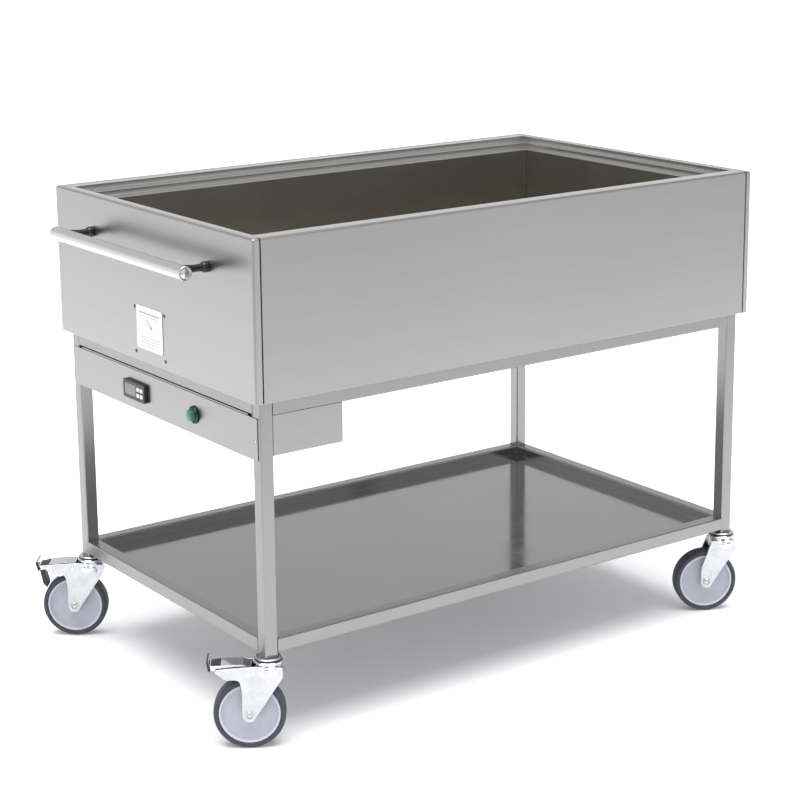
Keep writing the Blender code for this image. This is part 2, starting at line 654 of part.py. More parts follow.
def fork_mesh(braked):
    """Pressed fork: domed head, crown over the wheel and two side plates."""
    plates = prism(fork_outline(braked), -FORK_HALF_WIDTH, FORK_HALF_WIDTH, "Y")
    slot = block((-0.1, -SLOT_HALF_WIDTH, 0.0), (0.2, SLOT_HALF_WIDTH, FORK_CROWN_Z))
    head = turned([(0, FORK_CROWN_Z), (FORK_HEAD_RADIUS - 0.004, FORK_CROWN_Z),
                   (FORK_HEAD_RADIUS, FORK_CROWN_Z + 0.005),
                   (FORK_HEAD_RADIUS, FORK_TOP_Z - 0.005),
                   (FORK_HEAD_RADIUS - 0.004, FORK_TOP_Z), (0, FORK_TOP_Z)], 24)
    pin_hole = rod(KING_PIN_RADIUS + GAP, FORK_CROWN_Z - 0.01, FORK_TOP_Z + 0.01, 12)
    axle_hole = along_y(rod(AXLE_RADIUS + GAP, -0.1, 0.1, 12), CASTOR_TRAIL, 0, AXLE_Z)
    steps = [("DIFFERENCE", slot)]
    if braked:
        pedal_slot = block((FORK_HEAD_RADIUS + 0.0005, -SLOT_HALF_WIDTH, 0.1),
                           (0.2, SLOT_HALF_WIDTH, 0.2))
        steps.append(("DIFFERENCE", pedal_slot))
    steps += [("UNION", head), ("DIFFERENCE", pin_hole), ("DIFFERENCE", axle_hole)]
    if braked:
        pivot_hole = along_y(rod(0.0033, -0.1, 0.1, 8), PEDAL_PIVOT[0], 0, PEDAL_PIVOT[1])
        steps.append(("DIFFERENCE", pivot_hole))
    return combine(plates, *steps)


def axle_mesh():
    head_in = FORK_HALF_WIDTH + GAP
    head_out = head_in + 0.003
    return turned([(0, -head_out), (0.0065, -head_out), (0.0075, -head_in),
                   (AXLE_RADIUS, -head_in), (AXLE_RADIUS, head_in), (0.0075, head_in),
                   (0.0065, head_out), (0, head_out)], 12, name="castor_axle")


def mirrored_profile(half):
    """A ring profile given for one side of the wheel, completed on the other."""
    return half + [(radius, -across) for radius, across in reversed(half)]


def hub_mesh():
    bore = AXLE_RADIUS + GAP
    half = [(bore, 0.0180), (0.0140, 0.0180), (0.0160, 0.0100), (0.0450, 0.0090),
            (0.0495, 0.0145), (TYRE_BORE - GAP, 0.0145)]
    return turned(mirrored_profile(half), WHEEL_STEPS, ring=True, name="castor_hub")


def tyre_mesh():
    half = [(TYRE_BORE, 0.0140), (0.0570, TYRE_HALF_WIDTH), (0.0608, 0.0140),
            (WHEEL_RADIUS, 0.0070)]
    return turned(mirrored_profile(half), WHEEL_STEPS, ring=True, name="castor_tyre")


def pedal_mesh(front_shoe):
    """Brake lever about its pivot: an arm, an up-turned tread and a shoe over the tyre."""
    def about_pivot(points):
        return [(x - PEDAL_PIVOT[0], z - PEDAL_PIVOT[1]) for x, z in points]

    half = SLOT_HALF_WIDTH - 0.002
    arm = about_pivot([(0.0280, 0.134), (0.0370, 0.134), (0.0430, 0.1425), (0.0540, 0.1425),
                       (0.0545, 0.1255), (0.0640, 0.1235), (0.0680, 0.1425), (0.0980, 0.1420),
                       (0.1010, 0.1480), (0.0960, 0.1500), (0.0430, 0.1525), (0.0280, 0.148)])
    lever = prism(arm, -half, half, "Y")
    tread = prism(about_pivot([(0.0965, 0.143), (0.1010, 0.142), (0.1035, 0.1595),
                               (0.0995, 0.1600)]), -0.021, 0.021, "Y")
    pin = along_y(rod(0.003, -FORK_HALF_WIDTH - 0.0015, FORK_HALF_WIDTH + 0.0015, 8))
    steps = [("UNION", tread), ("UNION", pin)]
    if front_shoe:
        # The shoe is drawn where it lies on the tyre, then swung back up by the stroke.
        pressed = about_pivot([(0.0930, 0.1370), (0.0860, 0.1120), (0.0835, 0.1020),
                               (0.0865, 0.0960), (0.0940, 0.1040), (0.1000, 0.1340)])
        swing = Matrix.Rotation(-PEDAL_STROKE, 4, "Y")
        steps.append(("UNION", moved(prism(pressed, -0.011, 0.011, "Y"), swing)))
    return combine(lever, *steps)


def make_castors(unit, materials):
    stem = stem_mesh()
    axle = axle_mesh()
    hub = hub_mesh()
    tyre = tyre_mesh()
    forks = {braked: fork_mesh(braked) for braked in (False, True)}
    pedals = {"released": pedal_mesh(False), "pressed": pedal_mesh(True)}
    lying = (-math.pi / 2, 0, 0)
    for place, castor in CASTORS.items():
        side_x, side_y = castor["side"]
        prefix = f"castor_{place}"
        swivel = pivot(f"{prefix}_swivel", unit, (side_x * LEG_X, side_y * LEG_Y, 0),
                       (0, 0, math.radians(castor["trail"])))
        piece(f"{prefix}_stem", stem, materials["zinc"], swivel)
        piece(f"{prefix}_fork", forks[castor["brake"] is not None], materials["zinc"], swivel)
        centre = (CASTOR_TRAIL, 0, AXLE_Z)
        piece(f"{prefix}_axle", axle, materials["zinc"], swivel, centre, lying)
        spin = pivot(f"{prefix}_spin", swivel, centre, lying)
        piece(f"{prefix}_hub", hub, materials["hub"], spin)
        piece(f"{prefix}_tyre", tyre, materials["tyre"], spin)
        if castor["brake"]:
            angle = PEDAL_STROKE if castor["brake"] == "pressed" else 0.0
            lever = pivot(f"{prefix}_brake", swivel, (PEDAL_PIVOT[0], 0, PEDAL_PIVOT[1]),
                          (0, angle, 0))
            piece(f"{prefix}_pedal", pedals[castor["brake"]], materials["zinc"], lever)


# ------------------------------------------------------------------ assembly
def centre_footprint(unit):
    """Move the unit so that the middle of its footprint is over the world origin."""
    bpy.context.view_layer.update()
    corners = [obj.matrix_world @ Vector(corner)
               for obj in bpy.data.objects if obj.type == "MESH" for corner in obj.bound_box]
    for i in (0, 1):
        values = [corner[i] for corner in corners]
        unit.location[i] = -round((min(values) + max(values)) / 2, 3)
    bpy.context.view_layer.update()


def main():
    clear_scene()
    materials = make_materials()
    unit = pivot("unit", None, (0, 0, 0))
    make_frame(unit, materials)
    make_shelf(unit, materials)
    make_casing(unit, materials)
    make_tank(unit, materials)
    make_underside(unit, materials)
    make_drain(unit, materials)
    make_control_box(unit, materials)
    make_fascia(unit, materials)
    make_controller(unit, materials)
    make_switch(unit, materials)
    make_handle(unit, materials)
    make_info_plate(unit, materials)
    make_castors(unit, materials)
    centre_footprint(unit)


main()
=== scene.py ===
"""Looks of the mobile bain-marie trolley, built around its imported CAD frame.

Metres, +Z up. X runs along the unit with the push handle and the controls at -X, and
the long front side faces -Y. Sizes repeat the CAD's; places come from the CAD's boxes
and joints.
"""

import json
import math

import bmesh
import bpy
from mathutils import Matrix, Vector


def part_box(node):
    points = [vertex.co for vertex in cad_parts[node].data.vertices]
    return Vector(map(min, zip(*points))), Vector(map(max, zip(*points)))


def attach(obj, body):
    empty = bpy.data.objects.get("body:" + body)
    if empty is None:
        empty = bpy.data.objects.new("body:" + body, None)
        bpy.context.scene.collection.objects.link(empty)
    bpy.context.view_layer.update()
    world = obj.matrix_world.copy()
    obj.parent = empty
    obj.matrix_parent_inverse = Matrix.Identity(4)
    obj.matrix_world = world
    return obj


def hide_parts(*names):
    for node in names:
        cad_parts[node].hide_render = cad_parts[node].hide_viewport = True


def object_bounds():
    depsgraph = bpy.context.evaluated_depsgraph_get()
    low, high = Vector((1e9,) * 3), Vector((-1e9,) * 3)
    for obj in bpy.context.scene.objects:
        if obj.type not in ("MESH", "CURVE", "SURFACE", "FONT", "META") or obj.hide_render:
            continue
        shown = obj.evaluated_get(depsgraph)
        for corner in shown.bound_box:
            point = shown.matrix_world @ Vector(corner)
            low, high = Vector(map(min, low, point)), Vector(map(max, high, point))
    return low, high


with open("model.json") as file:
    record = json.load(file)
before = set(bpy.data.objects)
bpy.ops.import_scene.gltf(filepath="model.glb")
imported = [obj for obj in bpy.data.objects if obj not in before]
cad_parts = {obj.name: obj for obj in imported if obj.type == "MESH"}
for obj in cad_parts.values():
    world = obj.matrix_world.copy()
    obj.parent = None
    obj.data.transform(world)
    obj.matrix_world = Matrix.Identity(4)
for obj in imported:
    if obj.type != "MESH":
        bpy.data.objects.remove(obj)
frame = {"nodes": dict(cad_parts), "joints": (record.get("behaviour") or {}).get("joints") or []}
cad_low, cad_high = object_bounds()

# ------ sizes
SHEET = 0.0012
CASING_SHEET = 0.0015
CASING_BEND = 0.0045
TOP_FLANGE = 0.009
BOTTOM_FLANGE = 0.032
CORNER_RETURN = 0.013
CORNER_SLOT = 0.0025
TUBE = 0.025
TUBE_WALL = 0.0015
TUBE_RADIUS = 0.0025
RIM_STEPS_X = (0.0, 0.0125, 0.0125, 0.0315, 0.0315, 0.0505)
RIM_STEPS_Y = (0.0, 0.0245, 0.0245, 0.0525, 0.0525, 0.0805)
RIM_DROPS = (0.0, 0.0, 0.010, 0.010, 0.020, 0.020)
WHEEL_RADIUS = 0.0621
FORK_HALF_WIDTH = 0.0215
FORK_PLATE = 0.003
PLACES = ("front_left", "rear_left", "front_right", "rear_right")
BRAKED = ("front_left", "rear_left")
HEAD_SLOTS = (84, 204, 324)  # degrees
PEDAL_PIVOT = (0.033, 0.139)  # along the trail, up
PEDAL_SWING = math.radians(7)
DRAIN_OFFSET = 0.0236  # from the front of the valve's box to the drain's axis
PAST = 0.01  # how far a cutter runs past what it cuts
CORNERS = ((-1, -1), (1, -1), (1, 1), (-1, 1))
SHARP_ANGLE = 34  # degrees, above which an edge is shaded sharp
CAMERA_TURN = (35.92, 12.57, -0.49)  # yaw, downward pitch and roll, degrees
CAMERA_PLACE = (-2.247, -3.074, 1.491)  # from the unit's middle on the floor
CAMERA_LENS = 91.5  # mm
CAMERA_SHIFT_Y = -0.12


# ------ places from the frame
def middle(node):
    low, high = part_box(node)
    return (low + high) / 2


def joint(name):
    return next(j for j in frame["joints"] if j["name"] == name)


UNIT = Matrix.Translation((middle("tank").x, middle("tank").y, 0))
CASING_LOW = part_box("casing_left_panel")[0]
CASING_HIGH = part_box("casing_right_panel")[1]


def local_box(node):
    """A node's box in the unit's own frame."""
    low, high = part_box(node)
    return low - UNIT.translation, high - UNIT.translation


def local_middle(node):
    return middle(node) - UNIT.translation


# ------ mesh makers
def mm(*points):
    """Points given in millimetres, in metres."""
    return [tuple(number / 1000 for number in point) for point in points]


def raised(level, *points):
    """Points (across, height above a level) given in millimetres, in metres."""
    return [(across, level + up) for across, up in mm(*points)]


def linked(name, data):
    obj = bpy.data.objects.new(name, data)
    bpy.context.collection.objects.link(obj)
    return obj


def smoothed(mesh, sharp=SHARP_ANGLE):
    mesh.shade_smooth()
    mesh.set_sharp_from_angle(angle=math.radians(sharp))
    return mesh


def to_mesh(bm):
    mesh = bpy.data.meshes.new("mesh")
    bm.to_mesh(mesh)
    bm.free()
    return mesh


def finished(bm, sharp=SHARP_ANGLE):
    bmesh.ops.remove_doubles(bm, verts=bm.verts, dist=1e-6)
    bmesh.ops.recalc_face_normals(bm, faces=bm.faces)
    return smoothed(to_mesh(bm), sharp)


def bevel(bm, edges, radius, steps):
    bmesh.ops.bevel(bm, geom=edges, offset=radius, segments=steps, profile=0.5,
                    affect="EDGES", clamp_overlap=True)


def soften(bm, radius, steps):
    """Round every edge that turns by more than 30 degrees."""
    edges = [e for e in bm.edges if e.is_manifold and e.calc_face_angle() > math.radians(30)]
    bevel(bm, edges, radius, steps)


def add_box(bm, low, high):
    """Add a box between two corners; its centre."""
    size = Vector(high) - Vector(low)
    centre = (Vector(high) + Vector(low)) / 2
    bmesh.ops.create_cube(bm, size=1.0,
                          matrix=Matrix.Translation(centre) @ Matrix.Diagonal((*size, 1.0)))
    return centre


def block(low, high, radius=0.0, steps=2):
    """A box between two corners, its edges rounded."""
    bm = bmesh.new()
    add_box(bm, low, high)
    if radius:
        soften(bm, radius, steps)
    return finished(bm)


def prism(outline, start, end, axis="Y", radius=0.0, steps=2):
    """An outline drawn out along an axis: (X, Z) for Y, (X, Y) for Z, (Y, Z) for X."""
    def point(pair, along):
        a, b = pair
        return {"X": (along, a, b), "Y": (a, along, b), "Z": (a, b, along)}[axis]

    bm = bmesh.new()
    near = bm.faces.new([bm.verts.new(point(pair, start)) for pair in outline])
    drawn = bmesh.ops.extrude_face_region(bm, geom=[near])
    far = [v for v in drawn["geom"] if isinstance(v, bmesh.types.BMVert)]
    bmesh.ops.translate(bm, verts=far,
                        vec=Vector(point((0, 0), end)) - Vector(point((0, 0), start)))
    if radius:
        bm.normal_update()
        caps = [e for e in bm.edges if any(len(f.verts) > 4 for f in e.link_faces)]
        bevel(bm, caps, radius, steps)
    return finished(bm)


def turned(profile, steps=64, ring=False, sharp=SHARP_ANGLE):
    """A profile of (radius, height) points turned about Z."""
    bm = bmesh.new()
    points = [bm.verts.new((r, 0, z)) for r, z in profile]
    edges = [bm.edges.new(pair) for pair in zip(points, points[1:])]
    if ring:
        edges.append(bm.edges.new((points[-1], points[0])))
    bmesh.ops.spin(bm, geom=points + edges, cent=(0, 0, 0), axis=(0, 0, 1),
                   angle=2 * math.pi, steps=steps, use_merge=True)
    return finished(bm, sharp)


def plug(radius, low, high, steps):
    """A cylinder on Z."""
    return turned([(0, low), (radius, low), (radius, high), (0, high)], steps)


def dome(radius, height, sweep, steps):
    """Profile points of a dome, from its rim up through a sweep in degrees."""
    return [(radius * math.cos(a), height * math.sin(a))
            for a in [math.radians(sweep) * k / steps for k in range(steps + 1)]]


def fillet(corners, steps=5):
    """An outline of (a, b, radius) corners, each one rounded by its radius."""
    points = []
    count = len(corners)
    for i, (a, b, radius) in enumerate(corners):
        here = Vector((a, b))
        back = Vector(corners[i - 1][:2]) - here
        on = Vector(corners[(i + 1) % count][:2]) - here
        half = back.angle(on) / 2
        reach = min(radius / math.tan(half), 0.48 * back.length, 0.48 * on.length)
        if radius <= 0 or reach < 1e-6:
            points.append((a, b))
            continue
        start = here + back.normalized() * reach
        end = here + on.normalized() * reach
        for k in range(steps + 1):
            t = k / steps
            blend = start * (1 - t) ** 2 + here * 2 * t * (1 - t) + end * t ** 2
            points.append(tuple(blend))
    return points


def rounded_rectangle(half_a, half_b, radius, steps=5, centre=(0, 0)):
    points = []
    for quarter, (sa, sb) in enumerate(((1, 1), (-1, 1), (-1, -1), (1, -1))):
        for step in range(steps + 1):
            turn = (quarter + step / steps) * math.pi / 2
            points.append((centre[0] + sa * (half_a - radius) + radius * math.cos(turn),
                           centre[1] + sb * (half_b - radius) + radius * math.sin(turn)))
    return points


def arc(centre, radius, start, end, steps):
    turns = [math.radians(start + (end - start) * i / steps) for i in range(steps + 1)]
    return [(centre[0] + radius * math.cos(t), centre[1] + radius * math.sin(t)) for t in turns]


def placed(mesh, matrix):
    mesh.transform(matrix)
    return mesh


def along_y(mesh, x=0.0, y=0.0, z=0.0):
    return placed(mesh, Matrix.Translation((x, y, z)) @ Matrix.Rotation(-math.pi / 2, 4, "X"))


def along_minus_x(mesh, x=0.0, y=0.0, z=0.0):
    return placed(mesh, Matrix.Translation((x, y, z)) @ Matrix.Rotation(-math.pi / 2, 4, "Y"))


def around(low, high, radius, turns):
    """Rounded boxes at turns about Z; the corners in metres, the turns in degrees."""
    return [placed(block(low, high, radius), Matrix.Rotation(math.radians(turn), 4, "Z"))
            for turn in turns]


def evaluated(work):
    """The object's mesh with its modifiers applied; the object goes."""
    depsgraph = bpy.context.evaluated_depsgraph_get()
    result = bpy.data.meshes.new_from_object(work.evaluated_get(depsgraph))
    bpy.data.objects.remove(work)
    return result


def combine(base, *steps):
    """Cut, join or intersect a mesh with others, in order."""
    work = linked("work", base)
    tools = [linked("tool", mesh) for _, mesh in steps]
    for (operation, _), tool in zip(steps, tools):
        modifier = work.modifiers.new(operation.lower(), "BOOLEAN")
        modifier.operation = operation
        modifier.solver = "EXACT"
        modifier.object = tool
    result = evaluated(work)
    for tool in tools:
        bpy.data.objects.remove(tool)
    return smoothed(result)


def cut(base, *meshes):
    return combine(base, *[("DIFFERENCE", mesh) for mesh in meshes])


def joined(*meshes):
    """Several closed meshes as one."""
    bm = bmesh.new()
    for mesh in meshes:
        bm.from_mesh(mesh)
    return smoothed(to_mesh(bm))


def softened(mesh, radius):
    """A mesh with its sharp edges rounded."""
    bm = bmesh.new()
    bm.from_mesh(mesh)
    bmesh.ops.remove_doubles(bm, verts=bm.verts, dist=1e-6)
    bmesh.ops.dissolve_limit(bm, angle_limit=math.radians(0.5), verts=bm.verts, edges=bm.edges)
    soften(bm, radius, 3)
    return finished(bm)


def weighted(mesh):
    """The mesh with its shading normals led by its large faces."""
    work = linked("work", mesh)
    modifier = work.modifiers.new("normals", "WEIGHTED_NORMAL")
    modifier.weight = 100
    modifier.keep_sharp = True
    return evaluated(work)


def piece(name, mesh, material, body, replaces=(), at=UNIT):
    """One named piece that rides on a body and takes a finish."""
    mesh = weighted(mesh)
    mesh.transform(at)
    mesh.materials.clear()
    mesh.materials.append(material)
    obj = linked(name, mesh)
    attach(obj, body)
    if replaces:
        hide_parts(*replaces)
    return obj


# ------ materials
class Finish:
    """A Principled material with helpers for procedural detail in object space."""

    def __init__(self, name, colour, roughness, metallic=0.0, **fixed):
        self.material = bpy.data.materials.new(name)
        self.material.use_nodes = True
        self.tree = self.material.node_tree
        self.shader = self.tree.nodes["Principled BSDF"]
        self.colour = colour
        self.roughness = roughness
        self.shader.inputs["Base Color"].default_value = (*colour, 1.0)
        self.shader.inputs["Roughness"].default_value = roughness
        self.shader.inputs["Metallic"].default_value = metallic
        for socket, value in fixed.items():
            self.shader.inputs[socket.replace("_", " ")].default_value = value
        self.bump = None

    def node(self, kind, **settings):
        made = self.tree.nodes.new(kind)
        for key, value in settings.items():
            setattr(made, key, value)
        return made

    def link(self, start, end):
        self.tree.links.new(start, end)

    def noise(self, scale, detail=3.0, roughness=0.55, offset=0.0):
        """Noise in object space, in cycles per metre, alike or per axis; its value output."""
        place = self.node("ShaderNodeTexCoord")
        stretch = self.node("ShaderNodeMapping")
        stretch.inputs["Scale"].default_value = (
            scale if isinstance(scale, tuple) else (scale,) * 3)
        stretch.inputs["Location"].default_value = (offset, offset * 0.7, offset * 1.3)
        self.link(place.outputs["Object"], stretch.inputs["Vector"])
        made = self.node("ShaderNodeTexNoise")
        made.inputs["Scale"].default_value = 1.0
        made.inputs["Detail"].default_value = detail
        made.inputs["Roughness"].default_value = roughness
        self.link(stretch.outputs["Vector"], made.inputs["Vector"])
        return made.outputs["Fac"]

    def spread(self, value, low, high, start=0.3, end=0.7):
        """A value output remapped from start..end to low..high."""
        made = self.node("ShaderNodeMapRange")
        for socket, number in (("From Min", start), ("From Max", end),
                               ("To Min", low), ("To Max", high)):
            made.inputs[socket].default_value = number
        self.link(value, made.inputs["Value"])
        return made.outputs["Result"]

    def product(self, a, b):
        made = self.node("ShaderNodeMath", operation="MULTIPLY")
        self.link(a, made.inputs[0])
        self.link(b, made.inputs[1])
        return made.outputs["Value"]

    def tone(self, *spreads):
        """Multiply the base colour by value outputs, each one spread over its range."""
        factors = [self.spread(*spread) for spread in spreads]
        factor = factors[0]
        for other in factors[1:]:
            factor = self.product(factor, other)
        mixed = self.node("ShaderNodeVectorMath", operation="SCALE")
        mixed.inputs[0].default_value = self.colour
        self.link(factor, mixed.inputs["Scale"])
        self.link(mixed.outputs["Vector"], self.shader.inputs["Base Color"])

    def tint(self, value, other, start=0.45, end=0.65):
        """Blend the base colour towards another by a value output."""
        mixed = self.node("ShaderNodeMix", data_type="RGBA")
        mixed.inputs["A"].default_value = (*self.colour, 1.0)
        mixed.inputs["B"].default_value = (*other, 1.0)
        self.link(self.spread(value, 0.0, 1.0, start, end), mixed.inputs["Factor"])
        self.link(mixed.outputs["Result"], self.shader.inputs["Base Color"])

    def gloss(self, value, less, more, start=0.3, end=0.7):
        """Let the roughness follow a value output."""
        self.link(self.spread(value, less, more, start, end), self.shader.inputs["Roughness"])

    def relief(self, value, height, strength=1.0):
        """Add a bump, height in metres."""
        made = self.node("ShaderNodeBump")
        made.inputs["Distance"].default_value = height
        made.inputs["Strength"].default_value = strength
        self.link(value, made.inputs["Height"])
        if self.bump is not None:
            self.link(self.bump, made.inputs["Normal"])
        self.bump = made.outputs["Normal"]
        self.link(self.bump, self.shader.inputs["Normal"])


def grain_scale(axis, along, across):
    return tuple(along if letter == axis else across for letter in "XYZ")


def brushed_steel(name, axis, colour=(0.395, 0.395, 0.388), roughness=0.30):
    """Stainless with its brush lines along one axis: fine lines, broad streaks, faint clouds."""
    made = Finish(name, colour, roughness, 1.0)
    fine = made.noise(grain_scale(axis, 5.0, 1500.0), 3.0)
    streak = made.noise(grain_scale(axis, 1.1, 170.0), 4.0, 0.65, 3.1)
    cloud = made.noise(3.2, 2.0, 0.5, 7.7)
    made.tone((fine, 0.98, 1.02), (streak, 0.993, 1.007), (cloud, 0.985, 1.015))
    made.gloss(made.product(made.spread(streak, 0.98, 1.02), made.spread(cloud, 0.9, 1.1)),
               0.88 * roughness, 1.12 * roughness, 0.8, 1.25)
    made.relief(fine, 0.000004, 0.5)
    return made.material


def rolled_steel():
    """Bright smooth sheet of the shelf, slightly wavy, with faint handling marks."""
    made = Finish("rolled_stainless", (0.300, 0.300, 0.299), 0.12, 1.0)
    wave = made.noise(4.0, 2.0, 0.4, 1.3)
    fine = made.noise((8.0, 900.0, 900.0), 2.0, 0.5, 4.0)
    mark = made.noise((14.0, 22.0, 14.0), 5.0, 0.7, 9.2)
    made.tone((fine, 0.985, 1.015), (wave, 0.98, 1.02))
    made.gloss(mark, 0.095, 0.17, 0.42, 0.72)
    made.relief(wave, 0.0012, 0.25)
    return made.material


def tank_steel():
    """Satin sheet of the well, a little warm, with fine lines down its walls."""
    made = Finish("tank_stainless", (0.500, 0.478, 0.440), 0.24, 1.0)
    fine = made.noise((6.0, 6.0, 1100.0), 3.0, 0.6, 2.0)
    band = made.noise((0.7, 0.7, 26.0), 3.0, 0.6, 5.0)
    lime = made.noise(9.0, 6.0, 0.7, 8.0)
    made.tone((fine, 0.97, 1.03), (band, 0.93, 1.06))
    made.gloss(lime, 0.23, 0.255, 0.4, 0.75)
    made.relief(fine, 0.00001, 0.5)
    return made.material


def satin_tube():
    made = Finish("satin_tube", (0.62, 0.62, 0.61), 0.30, 1.0)
    fine = made.noise((1400.0, 7.0, 1400.0), 3.0)
    ring = made.noise((5.0, 60.0, 5.0), 3.0, 0.5, 6.0)
    made.tone((fine, 0.98, 1.02), (ring, 0.99, 1.01))
    made.gloss(ring, 0.30, 0.34)
    made.relief(fine, 0.000002, 0.4)
    return made.material


def zinc_plate():
    """Bright zinc: bluish white, mottled, duller in patches."""
    made = Finish("bright_zinc", (0.570, 0.575, 0.595), 0.20, 1.0)
    patch = made.noise(55.0, 4.0, 0.6, 1.0)
    grain = made.noise(900.0, 2.0, 0.5, 2.0)
    made.tint(patch, (0.51, 0.52, 0.55), 0.45, 0.75)
    made.gloss(patch, 0.17, 0.36)
    made.relief(grain, 0.00003, 0.35)
    return made.material


def chrome():
    made = Finish("polished_chrome", (0.64, 0.65, 0.67), 0.08, 1.0)
    smear = made.noise(40.0, 3.0, 0.6, 3.0)
    made.gloss(smear, 0.045, 0.12)
    return made.material


def weld_steel():
    """Ground and tinted weld: darker, rippled, straw-coloured in places."""
    made = Finish("weld_bead", (0.17, 0.16, 0.15), 0.42, 1.0)
    tint = made.noise(60.0, 3.0, 0.6, 1.0)
    ripple = made.noise(700.0, 2.0, 0.5, 2.0)
    made.tint(tint, (0.24, 0.20, 0.16))
    made.relief(ripple, 0.0001, 0.5)
    return made.material


def tyre_rubber():
    """Blue-grey rubber, paler and dusty in patches."""
    made = Finish("grey_rubber", (0.040, 0.043, 0.062), 0.60)
    dust = made.noise(70.0, 5.0, 0.7, 4.0)
    grain = made.noise(1300.0, 2.0, 0.6, 8.0)
    made.tint(dust, (0.075, 0.078, 0.095), 0.48, 0.8)
    made.gloss(dust, 0.50, 0.74)
    made.relief(grain, 0.00006, 0.5)
    return made.material


def hub_nylon(name, colour):
    made = Finish(name, colour, 0.42, IOR=1.53)
    flow = made.noise(35.0, 4.0, 0.6, 5.0)
    grain = made.noise(1600.0, 2.0, 0.5, 2.0)
    made.tone((flow, 0.94, 1.05), (grain, 0.985, 1.015))
    made.gloss(flow, 0.34, 0.50)
    made.relief(grain, 0.00003, 0.4)
    return made.material


def moulded(name, colour, roughness, grain_height=0.00003, grain=1500.0):
    """Moulded plastic or coated metal with a fine skin and a few rubbed patches."""
    made = Finish(name, colour, roughness, IOR=1.5)
    rub = made.noise(90.0, 4.0, 0.65, 6.0)
    skin = made.noise(grain, 2.0, 0.5, 3.0)
    made.tone((rub, 0.92, 1.10), (skin, 0.96, 1.04))
    made.gloss(rub, 0.8 * roughness, 1.25 * roughness)
    made.relief(skin, grain_height, 0.5)
    return made.material


def display_glass():
    """Unlit liquid-crystal window: grey-olive film under gloss."""
    made = Finish("display_glass", (0.115, 0.12, 0.095), 0.10, IOR=1.5, Coat_Weight=0.6,
                  Coat_Roughness=0.05)
    film = made.noise(60.0, 2.0, 0.5, 2.0)
    made.tone((film, 0.93, 1.07))
    return made.material


def lens_plastic():
    made = Finish("green_lens", (0.012, 0.21, 0.105), 0.16, IOR=1.49, Coat_Weight=0.5,
                  Coat_Roughness=0.08, Subsurface_Weight=0.15)
    ring = made.noise(160.0, 3.0, 0.6, 2.0)
    made.tone((ring, 0.82, 1.2))
    made.gloss(ring, 0.12, 0.22)
    return made.material


def enamel():
    made = Finish("plate_enamel", (0.88, 0.885, 0.89), 0.28, IOR=1.5)
    stain = made.noise(45.0, 4.0, 0.6, 2.0)
    made.tint(stain, (0.82, 0.82, 0.80), 0.5, 0.85)
    made.gloss(stain, 0.22, 0.36)
    return made.material


def mineral_wool():
    made = Finish("mineral_wool", (0.55, 0.49, 0.30), 0.95)
    fibre = made.noise((120.0, 700.0, 700.0), 4.0, 0.7, 2.0)
    made.tint(fibre, (0.68, 0.62, 0.44), 0.35, 0.7)
    made.relief(fibre, 0.0008, 0.8)
    return made.material


def zinc_like(name, colour):
    """Plated or tinted metal with blotches."""
    made = Finish(name, colour, 0.32, 1.0)
    patch = made.noise(80.0, 4.0, 0.65, 3.0)
    made.tone((patch, 0.85, 1.08))
    made.gloss(patch, 0.24, 0.42)
    return made.material


def make_materials():
    return {
        # Painted shade and painted light: the brushed stainless is one steel in copies with
        # different base tones by place, set so each place's tone matches under this light. The end
        # panels take the default tone. The front and rear panels, the control box case, its fascia
        # and the frame tubes are darker copies, and the tank's rim is a lighter copy.
        "x": brushed_steel("brushed_along_x", "X", (0.375, 0.375, 0.368)),
        "y": brushed_steel("brushed_along_y", "Y"),
        "case_x": brushed_steel("case_along_x", "X", (0.335, 0.335, 0.329)),
        "case_y": brushed_steel("case_along_y", "Y", (0.345, 0.345, 0.339)),
        "tube_x": brushed_steel("tube_along_x", "X", (0.300, 0.299, 0.292), 0.27),
        "tube_y": brushed_steel("tube_along_y", "Y", (0.300, 0.299, 0.292), 0.27),
        "tube_z": brushed_steel("tube_along_z", "Z", (0.300, 0.299, 0.292), 0.27),
        "shelf": rolled_steel(),
        "rim": brushed_steel("brushed_rim", "X", (0.49, 0.487, 0.475), 0.26),
        "tank": tank_steel(),
        "tube": satin_tube(),
        "zinc": zinc_plate(),
        "chrome": chrome(),
        "weld": weld_steel(),
        "tyre": tyre_rubber(),
        "hub": hub_nylon("hub_nylon", (0.40, 0.415, 0.475)),
        "hub_rim": hub_nylon("hub_rim_nylon", (0.56, 0.575, 0.64)),
        "gloss": moulded("gloss_black", (0.012, 0.012, 0.012), 0.14, 0.00001),
        "bezel": moulded("bezel_black", (0.022, 0.022, 0.023), 0.36),
        "tread": moulded("pedal_black", (0.022, 0.022, 0.024), 0.55, 0.00008, 900.0),
        "key": moulded("key_white", (0.74, 0.75, 0.73), 0.38),
        "ink": moulded("printed_grey", (0.33, 0.33, 0.35), 0.5),
        "rivet": moulded("dark_rivet", (0.055, 0.055, 0.058), 0.32),
        "grip": moulded("lever_red", (0.42, 0.025, 0.02), 0.38),
        "glass": display_glass(),
        "lens": lens_plastic(),
        "plate": enamel(),
        "wool": mineral_wool(),
        "brass": zinc_like("nickelled_brass", (0.66, 0.60, 0.48)),
        "heater": zinc_like("heater_sheath", (0.27, 0.25, 0.24)),
    }


# ------ frame
def square_tube(length):
    """Square hollow section along Z, centred on the origin, open at both ends."""
    outer = rounded_rectangle(TUBE / 2, TUBE / 2, TUBE_RADIUS, 5)
    inner_half = TUBE / 2 - TUBE_WALL
    inner = rounded_rectangle(inner_half, inner_half, TUBE_RADIUS - TUBE_WALL, 5)
    low = -length / 2
    high = length / 2
    bm = bmesh.new()
    loops = [[bm.verts.new((x, y, z)) for x, y in ring]
             for ring, z in ((outer, low), (outer, high), (inner, high), (inner, low))]
    count = len(outer)
    for here, there in zip(loops, loops[1:] + loops[:1]):
        for i in range(count):
            j = (i + 1) % count
            bm.faces.new((here[i], here[j], there[j], there[i]))
    return finished(bm)


